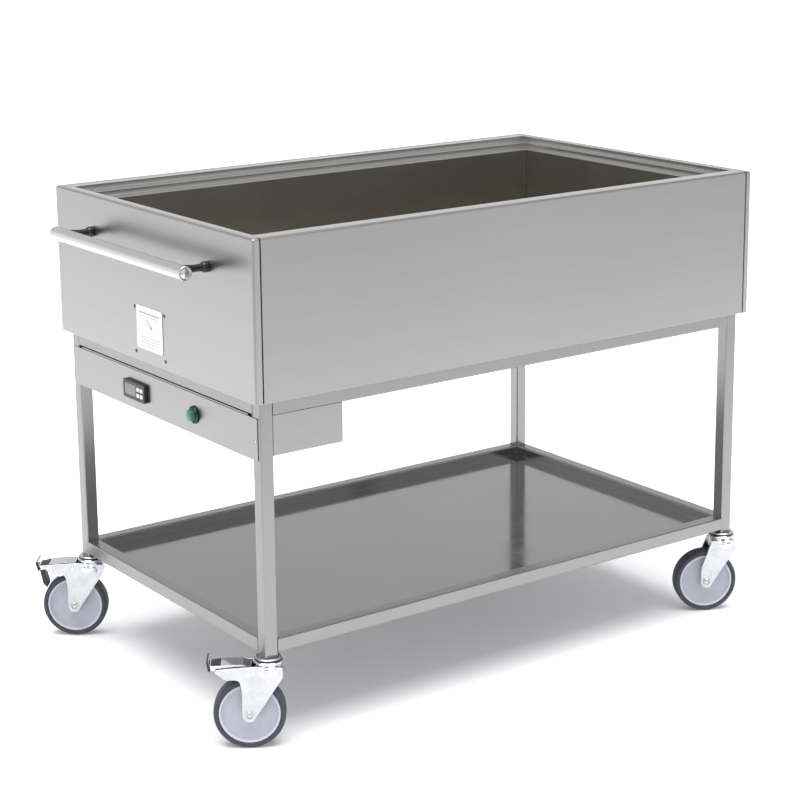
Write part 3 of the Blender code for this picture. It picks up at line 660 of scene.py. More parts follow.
def make_tubes(look):
    """Legs and rails with properly rounded corners."""
    turn = {"X": Matrix.Rotation(math.pi / 2, 4, "Y"),
            "Y": Matrix.Rotation(math.pi / 2, 4, "X"),
            "Z": Matrix.Identity(4)}
    runs = [(f"leg_{place}", "Z") for place in PLACES]
    for level in ("upper", "lower"):
        runs += [(f"{level}_rail_{side}", "X") for side in ("front", "rear")]
        runs += [(f"{level}_rail_{side}", "Y") for side in ("left", "right")]
    for node, axis in runs:
        low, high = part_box(node)
        length = (high - low)["XYZ".index(axis)]
        gap = 0.0 if axis == "Z" else 0.0006
        piece(f"tube_{node}", placed(square_tube(length + gap), turn[axis]),
              look[f"tube_{axis.lower()}"], "trolley", (node,),
              Matrix.Translation((low + high) / 2))


def weld_run(start, end, radius, across=(0, 0, 1), pitch=0.0022):
    """A bead of overlapping ripples between two points."""
    start = Vector(start)
    end = Vector(end)
    along = (end - start).normalized()
    side = along.cross(Vector(across)).normalized()
    up = side.cross(along)
    rings = max(4, round((end - start).length / pitch) * 4)
    bm = bmesh.new()
    loops = []
    for i in range(rings + 1):
        t = i / rings
        swell = 0.84 + 0.16 * abs(math.sin(math.pi * i / 4))
        ends = min(1.0, 6 * t, 6 * (1 - t)) * 0.7 + 0.3
        size = radius * swell * ends
        centre = start.lerp(end, t)
        loops.append([bm.verts.new(centre + size * (math.cos(a) * side + math.sin(a) * up))
                      for a in [k * math.pi / 4 for k in range(8)]])
    for here, there in zip(loops, loops[1:]):
        for k in range(8):
            bm.faces.new((here[k], here[(k + 1) % 8], there[(k + 1) % 8], there[k]))
    bm.faces.new(loops[0])
    bm.faces.new(loops[-1])
    return finished(bm, 60)


def make_frame_welds(look):
    """Short ground beads in the inside corners where the rails meet the legs."""
    beads = []
    for place in PLACES:
        face, side = place.split("_")
        low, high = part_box(f"leg_{place}")
        inner_x, away_x = (high.x, 1) if side == "left" else (low.x, -1)
        inner_y, away_y = (high.y, 1) if face == "front" else (low.y, -1)
        corner = (inner_x + away_x * 0.0002, inner_y + away_y * 0.0002)
        for level, seams in (("upper", 1), ("lower", 2)):
            rail_low, rail_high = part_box(f"{level}_rail_{face}")
            for z in (rail_low.z, rail_high.z)[:seams]:
                beads.append(weld_run((inner_x, rail_low.y + 0.003, z),
                                      (inner_x, rail_high.y - 0.003, z), 0.0011))
            rail_low, rail_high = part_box(f"{level}_rail_{side}")
            for z in (rail_low.z, rail_high.z)[:seams]:
                beads.append(weld_run((rail_low.x + 0.003, inner_y, z),
                                      (rail_high.x - 0.003, inner_y, z), 0.0011))
            beads.append(weld_run((*corner, rail_low.z + 0.002), (*corner, rail_high.z - 0.002),
                                  0.0012, (1, 0, 0)))
    piece("frame_welds", joined(*beads), look["weld"], "trolley", at=Matrix.Identity(4))


# ------ sheet work
def folded_block(low, high, radius, foot=0.0):
    """A box with its upright and top edges rounded by the bend, its foot by its own radius."""
    bm = bmesh.new()
    centre = add_box(bm, low, high)
    bevel(bm, [e for e in bm.edges if max(v.co.z for v in e.verts) > centre.z], radius, 6)
    if foot:
        bm.normal_update()
        lowest = min(v.co.z for v in bm.verts)
        bevel(bm, [e for e in bm.edges if max(v.co.z for v in e.verts) < lowest + 1e-5], foot, 3)
    return finished(bm)


def flange_cutter(flange, low_z, high_z):
    """A block that leaves a flange of one width round the casing's inside."""
    return block((CASING_LOW.x + flange, CASING_LOW.y + flange, low_z),
                 (CASING_HIGH.x - flange, CASING_HIGH.y - flange, high_z))


def casing_panel(low, high):
    """The part of the folded casing that lies between two corners."""
    inset = Vector((CASING_SHEET,) * 3)
    outer = folded_block(CASING_LOW, CASING_HIGH, CASING_BEND, 0.0016)
    inner = folded_block(CASING_LOW + inset, CASING_HIGH - inset, CASING_BEND - CASING_SHEET)
    mid_z = (CASING_LOW.z + CASING_HIGH.z) / 2
    mouth = flange_cutter(TOP_FLANGE, mid_z, CASING_HIGH.z + PAST)
    base = flange_cutter(BOTTOM_FLANGE, CASING_LOW.z - PAST, mid_z)
    return combine(outer, ("DIFFERENCE", inner), ("DIFFERENCE", mouth),
                   ("DIFFERENCE", base), ("INTERSECT", block(low, high)))


def make_casing(look):
    """Outer casing: two end panels wrapped round the corners, two long panels between."""
    low = CASING_LOW - Vector((PAST,) * 3)
    high = CASING_HIGH + Vector((PAST,) * 3)
    slot = CORNER_RETURN + CORNER_SLOT
    reach = BOTTOM_FLANGE + SHEET
    spans = {
        "front": ((CASING_LOW.x + slot, low.y, low.z),
                  (CASING_HIGH.x - slot, CASING_LOW.y + reach, high.z), "x"),
        "rear": ((CASING_LOW.x + slot, CASING_HIGH.y - reach, low.z),
                 (CASING_HIGH.x - slot, high.y, high.z), "x"),
        "left": (low, (CASING_LOW.x + CORNER_RETURN, high.y, high.z), "y"),
        "right": ((CASING_HIGH.x - CORNER_RETURN, low.y, low.z), high, "y"),
    }
    for side, (start, end, grain) in spans.items():
        piece(f"panel_{side}", casing_panel(start, end), look[grain], "trolley",
              (f"casing_{side}_panel",), Matrix.Identity(4))


def ring_sheet(levels):
    """Folded sheet down through rectangular rings (half x, half y, z) to a floor."""
    bm = bmesh.new()
    rings = [[bm.verts.new((sx * x, sy * y, z)) for sx, sy in CORNERS] for x, y, z in levels]
    for outer, inner in zip(rings, rings[1:]):
        for i in range(4):
            j = (i + 1) % 4
            bm.faces.new((outer[i], outer[j], inner[j], inner[i]))
    bm.faces.new(rings[-1])
    skin = linked("sheet", to_mesh(bm))
    thick = skin.modifiers.new("thickness", "SOLIDIFY")
    thick.thickness = SHEET
    thick.offset = -1.0
    thick.use_even_offset = True
    return evaluated(skin)


def make_tank(look):
    """Stepped rim and deep well, every fold with its bend radius, and the corner seams."""
    low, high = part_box("tank")
    half_x = (high.x - low.x) / 2
    half_y = (high.y - low.y) / 2
    floor = low.z + SHEET
    levels = [(half_x - ix, half_y - iy, high.z - drop)
              for ix, iy, drop in zip(RIM_STEPS_X, RIM_STEPS_Y, RIM_DROPS)]
    well_x, well_y, ledge = levels[-1]
    levels.append((well_x, well_y, floor))
    drain_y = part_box("drain_valve")[0].y + DRAIN_OFFSET - UNIT.translation.y
    hole = placed(plug(0.0175, floor - PAST, floor + PAST, 40),
                  Matrix.Translation((local_middle("drain_valve").x, drain_y, 0)))
    pressing = piece("tank_pressing", cut(softened(ring_sheet(levels), 0.0011), hole),
                     look["tank"], "trolley", ("tank",)).data
    # Painted light: the rim's faces take the lighter brushed copy, which brightens the rim's
    # ledges.
    pressing.materials.append(look["rim"])
    for face in pressing.polygons:
        face.material_index = int(face.center.z > ledge - 0.0004)

    seams = []
    for sx, sy in CORNERS:
        corner = (sx * (well_x - 0.0004), sy * (well_y - 0.0004))
        seams.append(weld_run((*corner, floor + 0.002), (*corner, ledge - 0.002), 0.0012,
                              (1, 0, 0), 0.004))
        for outer, inner in zip(levels[0:5:2], levels[1:6:2]):
            start = (sx * (outer[0] - 0.0015), sy * (outer[1] - 0.0015), outer[2] - 0.0004)
            end = (sx * (inner[0] + 0.0015), sy * (inner[1] + 0.0015), inner[2] - 0.0004)
            seams.append(weld_run(start, end, 0.0006, (0, 0, 1), 0.003))
    piece("tank_seams", joined(*seams), look["weld"], "trolley")


def make_shelf(look):
    low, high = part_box("shelf_tray")
    half_x = (high.x - low.x) / 2 - SHEET
    half_y = (high.y - low.y) / 2 - SHEET
    solid = softened(ring_sheet([(half_x, half_y, high.z), (half_x, half_y, low.z + SHEET)]),
                     0.0009)
    piece("shelf_pressing", solid, look["shelf"], "trolley", ("shelf_tray",))


# ------ controls
def make_control_box(look):
    """Sheet box under the casing, open on top, notched round the left legs."""
    low, high = local_box("control_box")
    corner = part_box("leg_front_left")[1]
    leg = corner.x - UNIT.translation.x + 0.0003
    between = -corner.y + UNIT.translation.y - 0.0003
    outline = fillet([(low.x, -between, 0.001), (leg, -between, 0), (leg, low.y, 0.0015),
                      (high.x, low.y, 0.002), (high.x, high.y, 0.002), (leg, high.y, 0.0015),
                      (leg, between, 0), (low.x, between, 0.001)], 4)
    shell = prism(outline, low.z, high.z, "Z")
    wide = block((leg + SHEET, low.y + SHEET, low.z + SHEET),
                 (high.x - SHEET, high.y - SHEET, high.z + PAST), 0.001)
    narrow = block((low.x - PAST, SHEET - between, low.z + SHEET),
                   (leg + 2 * SHEET, between - SHEET, high.z + PAST))
    gland = local_middle("cable_gland")
    hole = along_y(plug(0.0083, -PAST, PAST, 32), gland.x, high.y, gland.z)
    piece("control_case", cut(shell, wide, narrow, hole), look["case_x"], "trolley",
          ("control_box",))

    seams = [weld_run((high.x - 0.0003, side * (high.y - 0.0009), low.z + 0.003),
                      (high.x - 0.0003, side * (high.y - 0.0009), high.z - 0.003),
                      0.0006, (1, 0, 0), 0.004) for side in (-1, 1)]
    screws = [along_y(pan_screw(0.0032, 0.0017), x, high.y, low.z + 0.012)
              for x in (leg + 0.02, high.x - 0.02)]
    piece("control_case_trim", joined(*seams, *screws), look["zinc"], "trolley")


def pan_screw(radius, height):
    """A domed screw head with a cross recess, its seat at Z = 0."""
    head = turned([(0, 0), *dome(radius, height, 90, 6)[:-1], (0, height)], 24)
    slot = 0.55 * radius
    thin = 0.16 * radius
    return cut(head, *[block((-a, -b, 0.45 * height), (a, b, 2 * height))
                       for a, b in ((slot, thin), (thin, slot))])


def rivet_head(radius, height):
    """A domed blind rivet with its broken mandrel in the middle."""
    dip = 0.36 * radius
    return turned([(0, 0), *dome(radius, height, 70, 6), (dip, height), (dip * 0.9, 0.6 * height),
                   (0.5 * dip, 0.6 * height), (0.4 * dip, 0.95 * height), (0, 0.95 * height)], 24)


def make_fascia(look):
    """Front sheet of the control box, with its window, its button hole and two end screws."""
    low, high = local_box("control_fascia")
    control = local_middle("controller")
    switch = local_middle("switch_collar")
    outline = rounded_rectangle((high.y - low.y) / 2, (high.z - low.z) / 2, 0.0015, 4,
                                (0, (low.z + high.z) / 2))
    sheet = prism(outline, low.x, high.x, "X", 0.0004)
    window = block((low.x - PAST, control.y - 0.0355, control.z - 0.0145),
                   (high.x + PAST, control.y + 0.0355, control.z + 0.0145))
    hole = along_minus_x(plug(0.0123, -PAST, PAST, 40), low.x, switch.y, switch.z)
    piece("fascia_sheet", cut(sheet, window, hole), look["case_y"], "trolley",
          ("control_fascia",))
    flange = block((high.x + 0.0002, low.y + 0.030, high.z - 0.008),
                   (high.x + 0.0014, high.y - 0.030, high.z + 0.0027), 0.0003)
    piece("box_front_flange", flange, look["case_y"], "trolley")
    screws = [along_minus_x(pan_screw(0.0030, 0.0016), low.x, side * (high.y - 0.006),
                            control.z) for side in (-1, 1)]
    piece("fascia_screws", joined(*screws), look["zinc"], "trolley")


def make_controller(look):
    """Thermostat: bezel with a sunk display and pockets for the keys."""
    low, high = local_box("controller")
    centre_y = (low.y + high.y) / 2
    centre_z = (low.z + high.z) / 2
    front = low.x
    seat = front + 0.007
    face = prism(rounded_rectangle((high.y - low.y) / 2, (high.z - low.z) / 2, 0.004, 6,
                                   (centre_y, centre_z)), front, seat, "X", 0.0012, 3)
    case = block((seat - 0.002, centre_y - 0.0352, centre_z - 0.0142),
                 (high.x, centre_y + 0.0352, centre_z + 0.0142), 0.0008)
    spot = (centre_y + 0.0135, centre_z)
    cuts = [prism(rounded_rectangle(0.0205, 0.0110, 0.001, 3, spot), front - PAST,
                  front + 0.0013, "X")]
    for name in ("set", "down", "up", "mode"):
        key_low, key_high = local_box(f"key_{name}")
        cuts.append(block((front - PAST, key_low.y - 0.0003, key_low.z - 0.0003),
                          (front + 0.0045, key_high.y + 0.0003, key_high.z + 0.0003),
                          0.0004, 1))
        piece(f"cap_{name}", block(key_low, key_high, 0.0008, 3), look["key"], f"key_{name}",
              (f"key_{name}",))
        piece(f"mark_{name}", key_mark(name, key_low, key_high), look["ink"], f"key_{name}")
    whole = combine(face, ("UNION", case), *[("DIFFERENCE", mesh) for mesh in cuts])
    piece("controller_case", whole, look["bezel"], "trolley", ("controller",))
    glass = prism(rounded_rectangle(0.0201, 0.0106, 0.001, 3, spot), front + 0.0004,
                  front + 0.0012, "X", 0.0002)
    piece("display_window", glass, look["glass"], "trolley")


def key_mark(name, low, high):
    """A small raised sign on a key: a square, a triangle down or up, or a ring."""
    centre = ((low.y + high.y) / 2, (low.z + high.z) / 2)
    start, corners = {"set": (45, 4), "down": (-90, 3), "up": (90, 3), "mode": (0, 16)}[name]
    outline = arc(centre, 0.0017, start, start + 360 - 360 / corners, corners - 1)
    return prism(outline, low.x + 0.00002, low.x + 0.0003, "X")


def make_switch(look):
    """Push button: ringed black collar and a domed green lens."""
    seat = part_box("control_fascia")[0].x - UNIT.translation.x
    centre = local_middle("switch_collar")
    collar = turned(mm(
        (0, -30), (11.5, -30), (11.5, -6), (12.1, -5.5), (12.1, 0.4), (15.6, 0.4), (16, 0.9),
        (16, 2.4), (15.5, 3.1), (14.2, 3.4), (13.8, 3), (13.4, 3.4), (12.8, 4.9), (12, 5.3),
        (11, 5.2), (10.7, 4.6), (10.7, -4), (0, -4)), 72)
    piece("switch_bezel", along_minus_x(collar, seat, centre.y, centre.z), look["gloss"],
          "trolley", ("switch_collar",))
    reach = seat - (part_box("switch_lens")[0].x - UNIT.translation.x)
    crown = [(r, reach - 0.003 + z) for r, z in dome(0.0102, 0.003, 88, 10)]
    lens = turned([*mm((0, 0.3), (10.2, 0.3), (10.2, 6), (10, 6.3), (10.2, 6.6)), *crown,
                   (0, reach)], 72)
    piece("switch_dome", along_minus_x(lens, seat, centre.y, centre.z), look["lens"],
          "switch_button", ("switch_lens",))


# ------ handle, plate, gland, drain
def make_handle(look):
    """Push bar with plugged ends, on two waisted black brackets."""
    low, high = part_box("handle_bar")
    centre = local_middle("handle_bar")
    at = Matrix.Translation((UNIT.translation.x, (low.y + high.y) / 2, 0))
    half = (high.y - low.y) / 2
    radius = (high.z - low.z) / 2
    inner = radius - 0.0014
    end = [(inner - 0.0002, half - 0.012), (inner, half - 0.0006), (inner + 0.0004, half),
           (radius - 0.0007, half), (radius, half - 0.0007)]
    profile = [(r, -z) for r, z in end] + end[::-1] + [(inner - 0.0002, 0.0)]
    piece("handle_tube", along_y(turned(profile, 72, ring=True), centre.x, 0, centre.z),
          look["tube"], "trolley", ("handle_bar",), at)
    edge = inner - 0.0001
    caps = []
    for flip in (math.pi, 0.0):
        cap = turned([(0, half - 0.010), (edge, half - 0.010), (edge, half - 0.0022),
                      (edge - 0.0004, half - 0.0018), (edge - 0.0018, half - 0.0019),
                      (edge - 0.0024, half - 0.0013), (0.6 * edge, half - 0.0006),
                      (0.3 * edge, half - 0.0003), (0, half - 0.0002)], 72, sharp=50)
        if flip:
            cap = placed(cap, Matrix.Rotation(flip, 4, "X"))
        caps.append(along_y(cap, centre.x, 0, centre.z))
    piece("handle_caps", joined(*caps), look["chrome"], "trolley", at=at)

    panel = CASING_LOW.x - UNIT.translation.x - centre.x - 0.0003
    stem = turned(raised(
        panel, (0, 0), (8.7, 0), (9.4, -0.8), (9.5, -2), (9.5, -7), (9, -9), (7.8, -10.8),
        (6.6, -11.6), (6.5, -13)) + mm((6.3, 36), (6.5, 28), (7.2, 22), (8, 18), (8, 6),
                                       (0, 6)), 48)
    bracket = cut(placed(stem, Matrix.Rotation(math.pi / 2, 4, "Y")),
                  along_y(plug(radius + 0.0002, -0.02, 0.02, 96)))
    for side in ("front", "rear"):
        spot = middle(f"handle_bracket_{side}")
        piece(f"bracket_{side}", bracket.copy(), look["gloss"], "trolley",
              (f"handle_bracket_{side}",),
              Matrix.Translation((centre.x + UNIT.translation.x, spot.y, spot.z)))


def make_info_plate(look):
    """Riveted enamel plate with faint ruled lines and a plain arrow sign."""
    low, high = local_box("info_plate")
    centre_y = (low.y + high.y) / 2
    centre_z = (low.z + high.z) / 2
    half_y = (high.y - low.y) / 2
    half_z = (high.z - low.z) / 2
    plate = prism(rounded_rectangle(half_y, half_z, 0.005, 6, (centre_y, centre_z)),
                  low.x + 0.00006, high.x, "X", 0.0002)
    piece("plate_face", plate, look["plate"], "trolley", ("info_plate",))
    deep = low.x + 0.0003
    bars = []
    for share, reach, tall in ((0.70, 0.80, 0.0011), (0.56, 0.62, 0.0005),
                               (-0.42, 0.78, 0.0005), (-0.55, 0.70, 0.0005),
                               (-0.68, 0.74, 0.0005), (-0.81, 0.52, 0.0005)):
        z = centre_z + share * half_z
        bars.append(block((low.x, centre_y - reach * half_y, z - tall),
                          (deep, centre_y + reach * half_y, z + tall)))
    slope = math.radians(-38)
    arrow = [(centre_y - (a * math.cos(slope) - b * math.sin(slope)),
              centre_z + 0.008 + a * math.sin(slope) + b * math.cos(slope))
             for a, b in mm((-14, -1.2), (5, -1.2), (5, -4.2), (14, 0), (5, 4.2), (5, 1.2),
                            (-14, 1.2))]
    bars.append(prism(arrow, low.x, deep, "X"))
    piece("plate_print", joined(*bars), look["ink"], "trolley")
    rivets = [along_minus_x(rivet_head(0.0034, 0.0012), high.x + 0.0003, centre_y + dy,
                            centre_z + dz) for dz in (0.0335, -0.0480) for dy in (0.0525, -0.0525)]
    piece("plate_rivets", joined(*rivets), look["rivet"], "trolley")


def make_gland(look):
    """Cable inlet: hexagon, ribbed dome nut and an empty mouth."""
    centre = middle("cable_gland")
    hexagon = prism(arc((0, 0), 0.0128, 0, 300, 5), 0.0004, 0.0058, "Z", 0.0005)
    nut = turned(mm((4.4, 4), (11.8, 4), (11.8, 9.5), (11.2, 14), (9.8, 18.5), (8.2, 21.2),
                    (7, 21.9), (4.8, 21.9), (4.4, 21.4)), 48, ring=True)
    thread = plug(0.0080, -0.012, 0.0010, 32)
    ribs = around((0.0108, -0.0006, 0.0062), (0.0124, 0.0006, 0.0120), 0.0003,
                  range(0, 360, 30))
    piece("gland_nut", along_y(joined(hexagon, nut, thread, *ribs)), look["bezel"], "trolley",
          ("cable_gland",),
          Matrix.Translation((centre.x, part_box("control_box")[1].y, centre.z)))


def make_drain(look):
    """Strainer in the tank floor, tail pipe, ball valve and its lever."""
    pivot = Vector(joint("drain_lever_turn")["pos_m"])
    x = middle("drain_valve").x
    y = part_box("drain_valve")[0].y + DRAIN_OFFSET
    z = joint("drain_lever_turn")["pos_m"][2]
    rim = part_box("drain_valve")[1].z - 0.0015
    at = Matrix.Translation((x, y, 0))
    seat = raised(rim, (0, 0.2), (15, 0.2), (15.6, 1.4), (23.6, 1), (23.9, 0.2), (17, 0))
    body = raised(
        z, (17, 26), (20, 26), (20.8, 25), (20.8, 15), (18, 14), (16.5, 12.5), (18, 8.5),
        (18.8, 0), (18, -8.5), (16.5, -12.5), (18, -14), (20.8, -15), (20.8, -25), (20, -26),
        (13.8, -26), (13.3, -29), (13.8, -32), (13.3, -35), (13.8, -38), (13.3, -44.5),
        (12.8, -45), (10.7, -45), (10.5, -44), (10.5, -20), (0, -20))
    stem = along_y(turned(mm((0, 10), (9.5, 10), (9.5, 19), (7.5, 20), (7.5, 25.8),
                             (0, 25.8)), 32), 0, 0, z)
    piece("drain_body", joined(turned(seat + body, 48), stem), look["brass"], "trolley",
          ("drain_valve",), at)
    holes = [(0.0, 0.0)] + arc((0, 0), 0.0055, 0, 300, 5) + arc((0, 0), 0.0110, 0, 330, 11)
    drills = [placed(plug(0.0013, rim, rim + 0.002, 12), Matrix.Translation((a, b, 0)))
              for a, b in holes]
    piece("drain_strainer", cut(plug(0.0149, rim + 0.0002, rim + 0.0009, 48), *drills),
          look["zinc"], "trolley", at=at)

    outline = fillet(mm((10, 7.5, 4), (30, 6, 10), (75, 7, 6), (75, -7, 6), (30, -6, 10),
                        (10, -7.5, 4), (-9.8, -6, 6), (-9.8, 6, 6)), 5)
    lever = prism(outline, 0.0004, 0.0036, "Y", 0.0007)
    nut = along_y(prism(arc((0, 0), 0.0048, 0, 300, 5), 0.0, 0.0039, "Z"))
    at = Matrix.Translation(pivot)
    piece("lever_grip", lever, look["grip"], "drain_lever", ("drain_lever",), at)
    piece("lever_nut", nut, look["zinc"], "drain_lever", at=at)


# ------ castors
def castor_matrix(place):
    """A castor's own frame at rest: X along its trail, Y along its axle, Z up."""
    swivel = joint(f"swivel_{place}")["pos_m"]
    across = Vector(joint(f"spin_{place}")["axis"]).normalized()
    trail = across.cross(Vector((0, 0, 1)))
    turn = Matrix((trail, across, (0, 0, 1))).transposed().to_4x4()
    return Matrix.Translation((swivel[0], swivel[1], 0)) @ turn


def axle_spot(place):
    """Axle's place in the castor's own frame: along the trail, and up."""
    spot = castor_matrix(place).inverted() @ Vector(joint(f"spin_{place}")["pos_m"])
    return spot.x, spot.z


def mirrored(half):
    return half + [(radius, -across) for radius, across in reversed(half)]


def tyre_mesh():
    """Round-shouldered tread with a mould line and a bead groove on each side."""
    shoulder = [(WHEEL_RADIUS - 0.0058 + 0.0058 * math.sin(a), 0.0102 + 0.0058 * math.cos(a))
                for a in [math.radians(90) * k / 8 for k in range(9)]]
    half = [*mm((53, 13.8), (53.7, 15), (54.6, 15.8), (55.6, 15.5), (56.2, 15.9)), *shoulder,
            (WHEEL_RADIUS + 0.00005, 0.0040), (WHEEL_RADIUS + 0.00008, 0.0006),
            (WHEEL_RADIUS + 0.0001, 0.0002)]
    return turned(mirrored(half), 128, ring=True, sharp=50)


def hub_mesh():
    """Dished nylon disc with a stepped boss."""
    half = mm((6.3, 17.8), (12.5, 18), (13.5, 17.2), (14.2, 12.5), (16, 9.8), (20, 8.8),
              (30, 8), (40, 8.3), (45.5, 9.4), (47.8, 11.2), (49, 12.4))
    return turned(mirrored(half), 128, ring=True, sharp=50)


def hub_rim_mesh():
    """Raised nylon ring between the disc and the tyre."""
    half = mm((48.4, 11.8), (49, 13.8), (49.8, 14.4), (51.8, 14.4), (52.6, 13.8), (52.9, 12.8))
    return turned(mirrored(half), 128, ring=True, sharp=50)


def fork_outline(braked, axle_x, axle_z):
    """Side plate seen from the axle's end, corners rounded: (along the trail, up)."""
    foot = [(axle_x + a, axle_z + b, radius) for a, b, radius in mm(
        (-11.8, -3, 8), (-6, -12.2, 5), (6.2, -12.2, 5), (12.2, -3, 7))]
    back = mm((-24.5, 147, 1), (-24.8, 129, 6))
    front = [(axle_x + 0.0118, 0.090, 0.02), *mm((29, 134, 8), (23.5, 147, 1))]
    if braked:
        front = [(axle_x + 0.0124, 0.1060, 0.012), *mm(
            (49, 126.2, 11), (73.5, 126.2, 10), (90.3, 140, 2), (89.3, 145.2, 3),
            (60, 147.8, 10), (23.5, 149.6, 2))]
    return fillet(back + foot + front, 6)


def fork_mesh(braked, axle_x, axle_z):
    """Pressed fork, its crown, side plates and washers, and the slotted swivel head."""
    outline = fork_outline(braked, axle_x, axle_z)
    inner = FORK_HALF_WIDTH - FORK_PLATE
    parts = [prism(outline, side * inner, side * FORK_HALF_WIDTH, "Y", 0.0009, 3)
             for side in (-1, 1)]
    parts.append(block((-0.0246, -FORK_HALF_WIDTH + 0.0004, 0.1302),
                       (0.0236, FORK_HALF_WIDTH - 0.0004, 0.1460), 0.0022, 4))
    head = turned(mm(
        (5.5, 130.2), (22.5, 130.2), (25, 131.2), (25.9, 133.5), (26, 140), (25.4, 141.5),
        (24, 142.4), (23.5, 143.4), (23.5, 149.6), (24, 150.8), (25.5, 151.8), (26, 153.2),
        (25.9, 155), (24.8, 156.2), (23.2, 156.7), (21.8, 156.9), (21.3, 156), (20.8, 155.2),
        (19, 155), (5.5, 155)), 72, ring=True, sharp=40)
    head = cut(head, *around((0.0205, -0.0033, 0.1426), (0.0300, 0.0033, 0.1506), 0.0006,
                             HEAD_SLOTS))
    for side in (-1, 1):
        washer = turned(mm((7.2, -0.4), (9.8, -0.4), (10.2, 0.2), (10, 0.8), (7.4, 0.8)), 48,
                        ring=True)
        if side < 0:
            washer = placed(washer, Matrix.Rotation(math.pi, 4, "X"))
        parts.append(along_y(washer, axle_x, side * FORK_HALF_WIDTH, axle_z))
    return joined(*parts), head


def head_slot_shade_mesh():
    """Dark pieces at the back of the slots in the swivel head, painted shade that darkens the
    slots.
    """
    return joined(*around((0.0203, -0.0030, 0.1429), (0.0212, 0.0030, 0.1503), 0.0003,
                          HEAD_SLOTS))


def stem_mesh():
    """King pin, race plate with its dust seal seat, and the expander up the leg."""
    return turned(mm(
        (0, 123.2), (8, 123.2), (9, 124.2), (9, 129), (8, 129.7), (5, 129.7), (5, 157.3),
        (21.5, 157.3), (22.8, 158), (23, 159), (22.8, 160.8), (21.6, 161.7), (10.6, 161.7),
        (10.6, 202), (6, 206.8), (0, 206.8)))


def seal_mesh():
    """Rubber dust seal over the swivel race."""
    return turned(mm((19.5, 155.2), (21.4, 155.2), (22.4, 156.6), (23.6, 158), (23.6, 159.2),
                     (22.6, 159.9), (19.5, 158)), ring=True)


def axle_mesh():
    """Hollow axle with its ends rolled over and a sunk, domed plug in each."""
    side = raised(FORK_HALF_WIDTH + 0.0003, (6, 0), (7.2, 0), (7.5, 0.6), (7.3, 1.7), (6.6, 2.5),
                  (5.9, 2.4), (5.4, 1.6), (5.2, -0.6), (4.6, -0.8), (4, 0.2), (2.2, 1.2), (0, 1.4))
    side = [(0.0060, 0.0), *side]
    below = [(r, -z) for r, z in reversed(side)]
    return turned(below[:-1] + side[1:], 48, sharp=40)


def pedal_meshes(pressed):
    """Brake lever about its pivot, its moulded tread, and the shoe over the tyre."""
    def outline(steps, *corners):
        return fillet([(a - PEDAL_PIVOT[0], b - PEDAL_PIVOT[1], radius)
                       for a, b, radius in mm(*corners)], steps)

    half = FORK_HALF_WIDTH - FORK_PLATE - 0.0022
    arm = outline(
        4, (28, 134, 2), (37, 134, 3), (43, 142.5, 3), (54, 142.5, 2), (54.5, 125.5, 2),
        (64, 123.5, 2), (68, 142.5, 2), (97.5, 142, 1), (98.5, 144, 1), (96, 149, 2),
        (70, 150.8, 6), (43, 151.6, 4), (28, 148, 4))
    pin = along_y(turned(mm((0, -22.8), (3, -22.8), (3.4, -22), (3, -21.6), (3, 21.6),
                            (3.4, 22), (3, 22.8), (0, 22.8)), 24))
    cover = outline(
        4, (44, 151.6, 1), (70, 150.8, 4), (95.5, 148.6, 2), (96.8, 143, 1), (100.8, 142.2, 1),
        (103.3, 159.2, 1), (99.8, 159.6, 1), (97.8, 150.8, 4), (70, 152.4, 6), (44, 152.6, 1))
    metal = joined(prism(arm, -half, half, "Y", 0.0006), pin,
                   prism(cover, -half - 0.0006, half + 0.0006, "Y", 0.0003))
    tab = outline(3, (96.8, 143, 1), (101.2, 142, 1), (104.1, 159, 1), (100.8, 159.7, 1))
    pad = outline(3, (80, 151.5, 1), (98.5, 149.6, 1), (99, 151.2, 0.5), (80, 153, 0.5))
    parts = [prism(tab, -0.0208, 0.0208, "Y", 0.0006),
             prism(pad, -half + 0.0025, half - 0.0025, "Y", 0.0004)]
    if pressed:
        shoe = outline(4, (93, 137, 2), (86, 112, 4), (83.5, 102, 3), (86.5, 96, 3),
                       (94, 104, 4), (100, 134, 2))
        parts.append(placed(prism(shoe, -0.011, 0.011, "Y", 0.0012),
                            Matrix.Rotation(-PEDAL_SWING, 4, "Y")))
    return metal, joined(*parts)


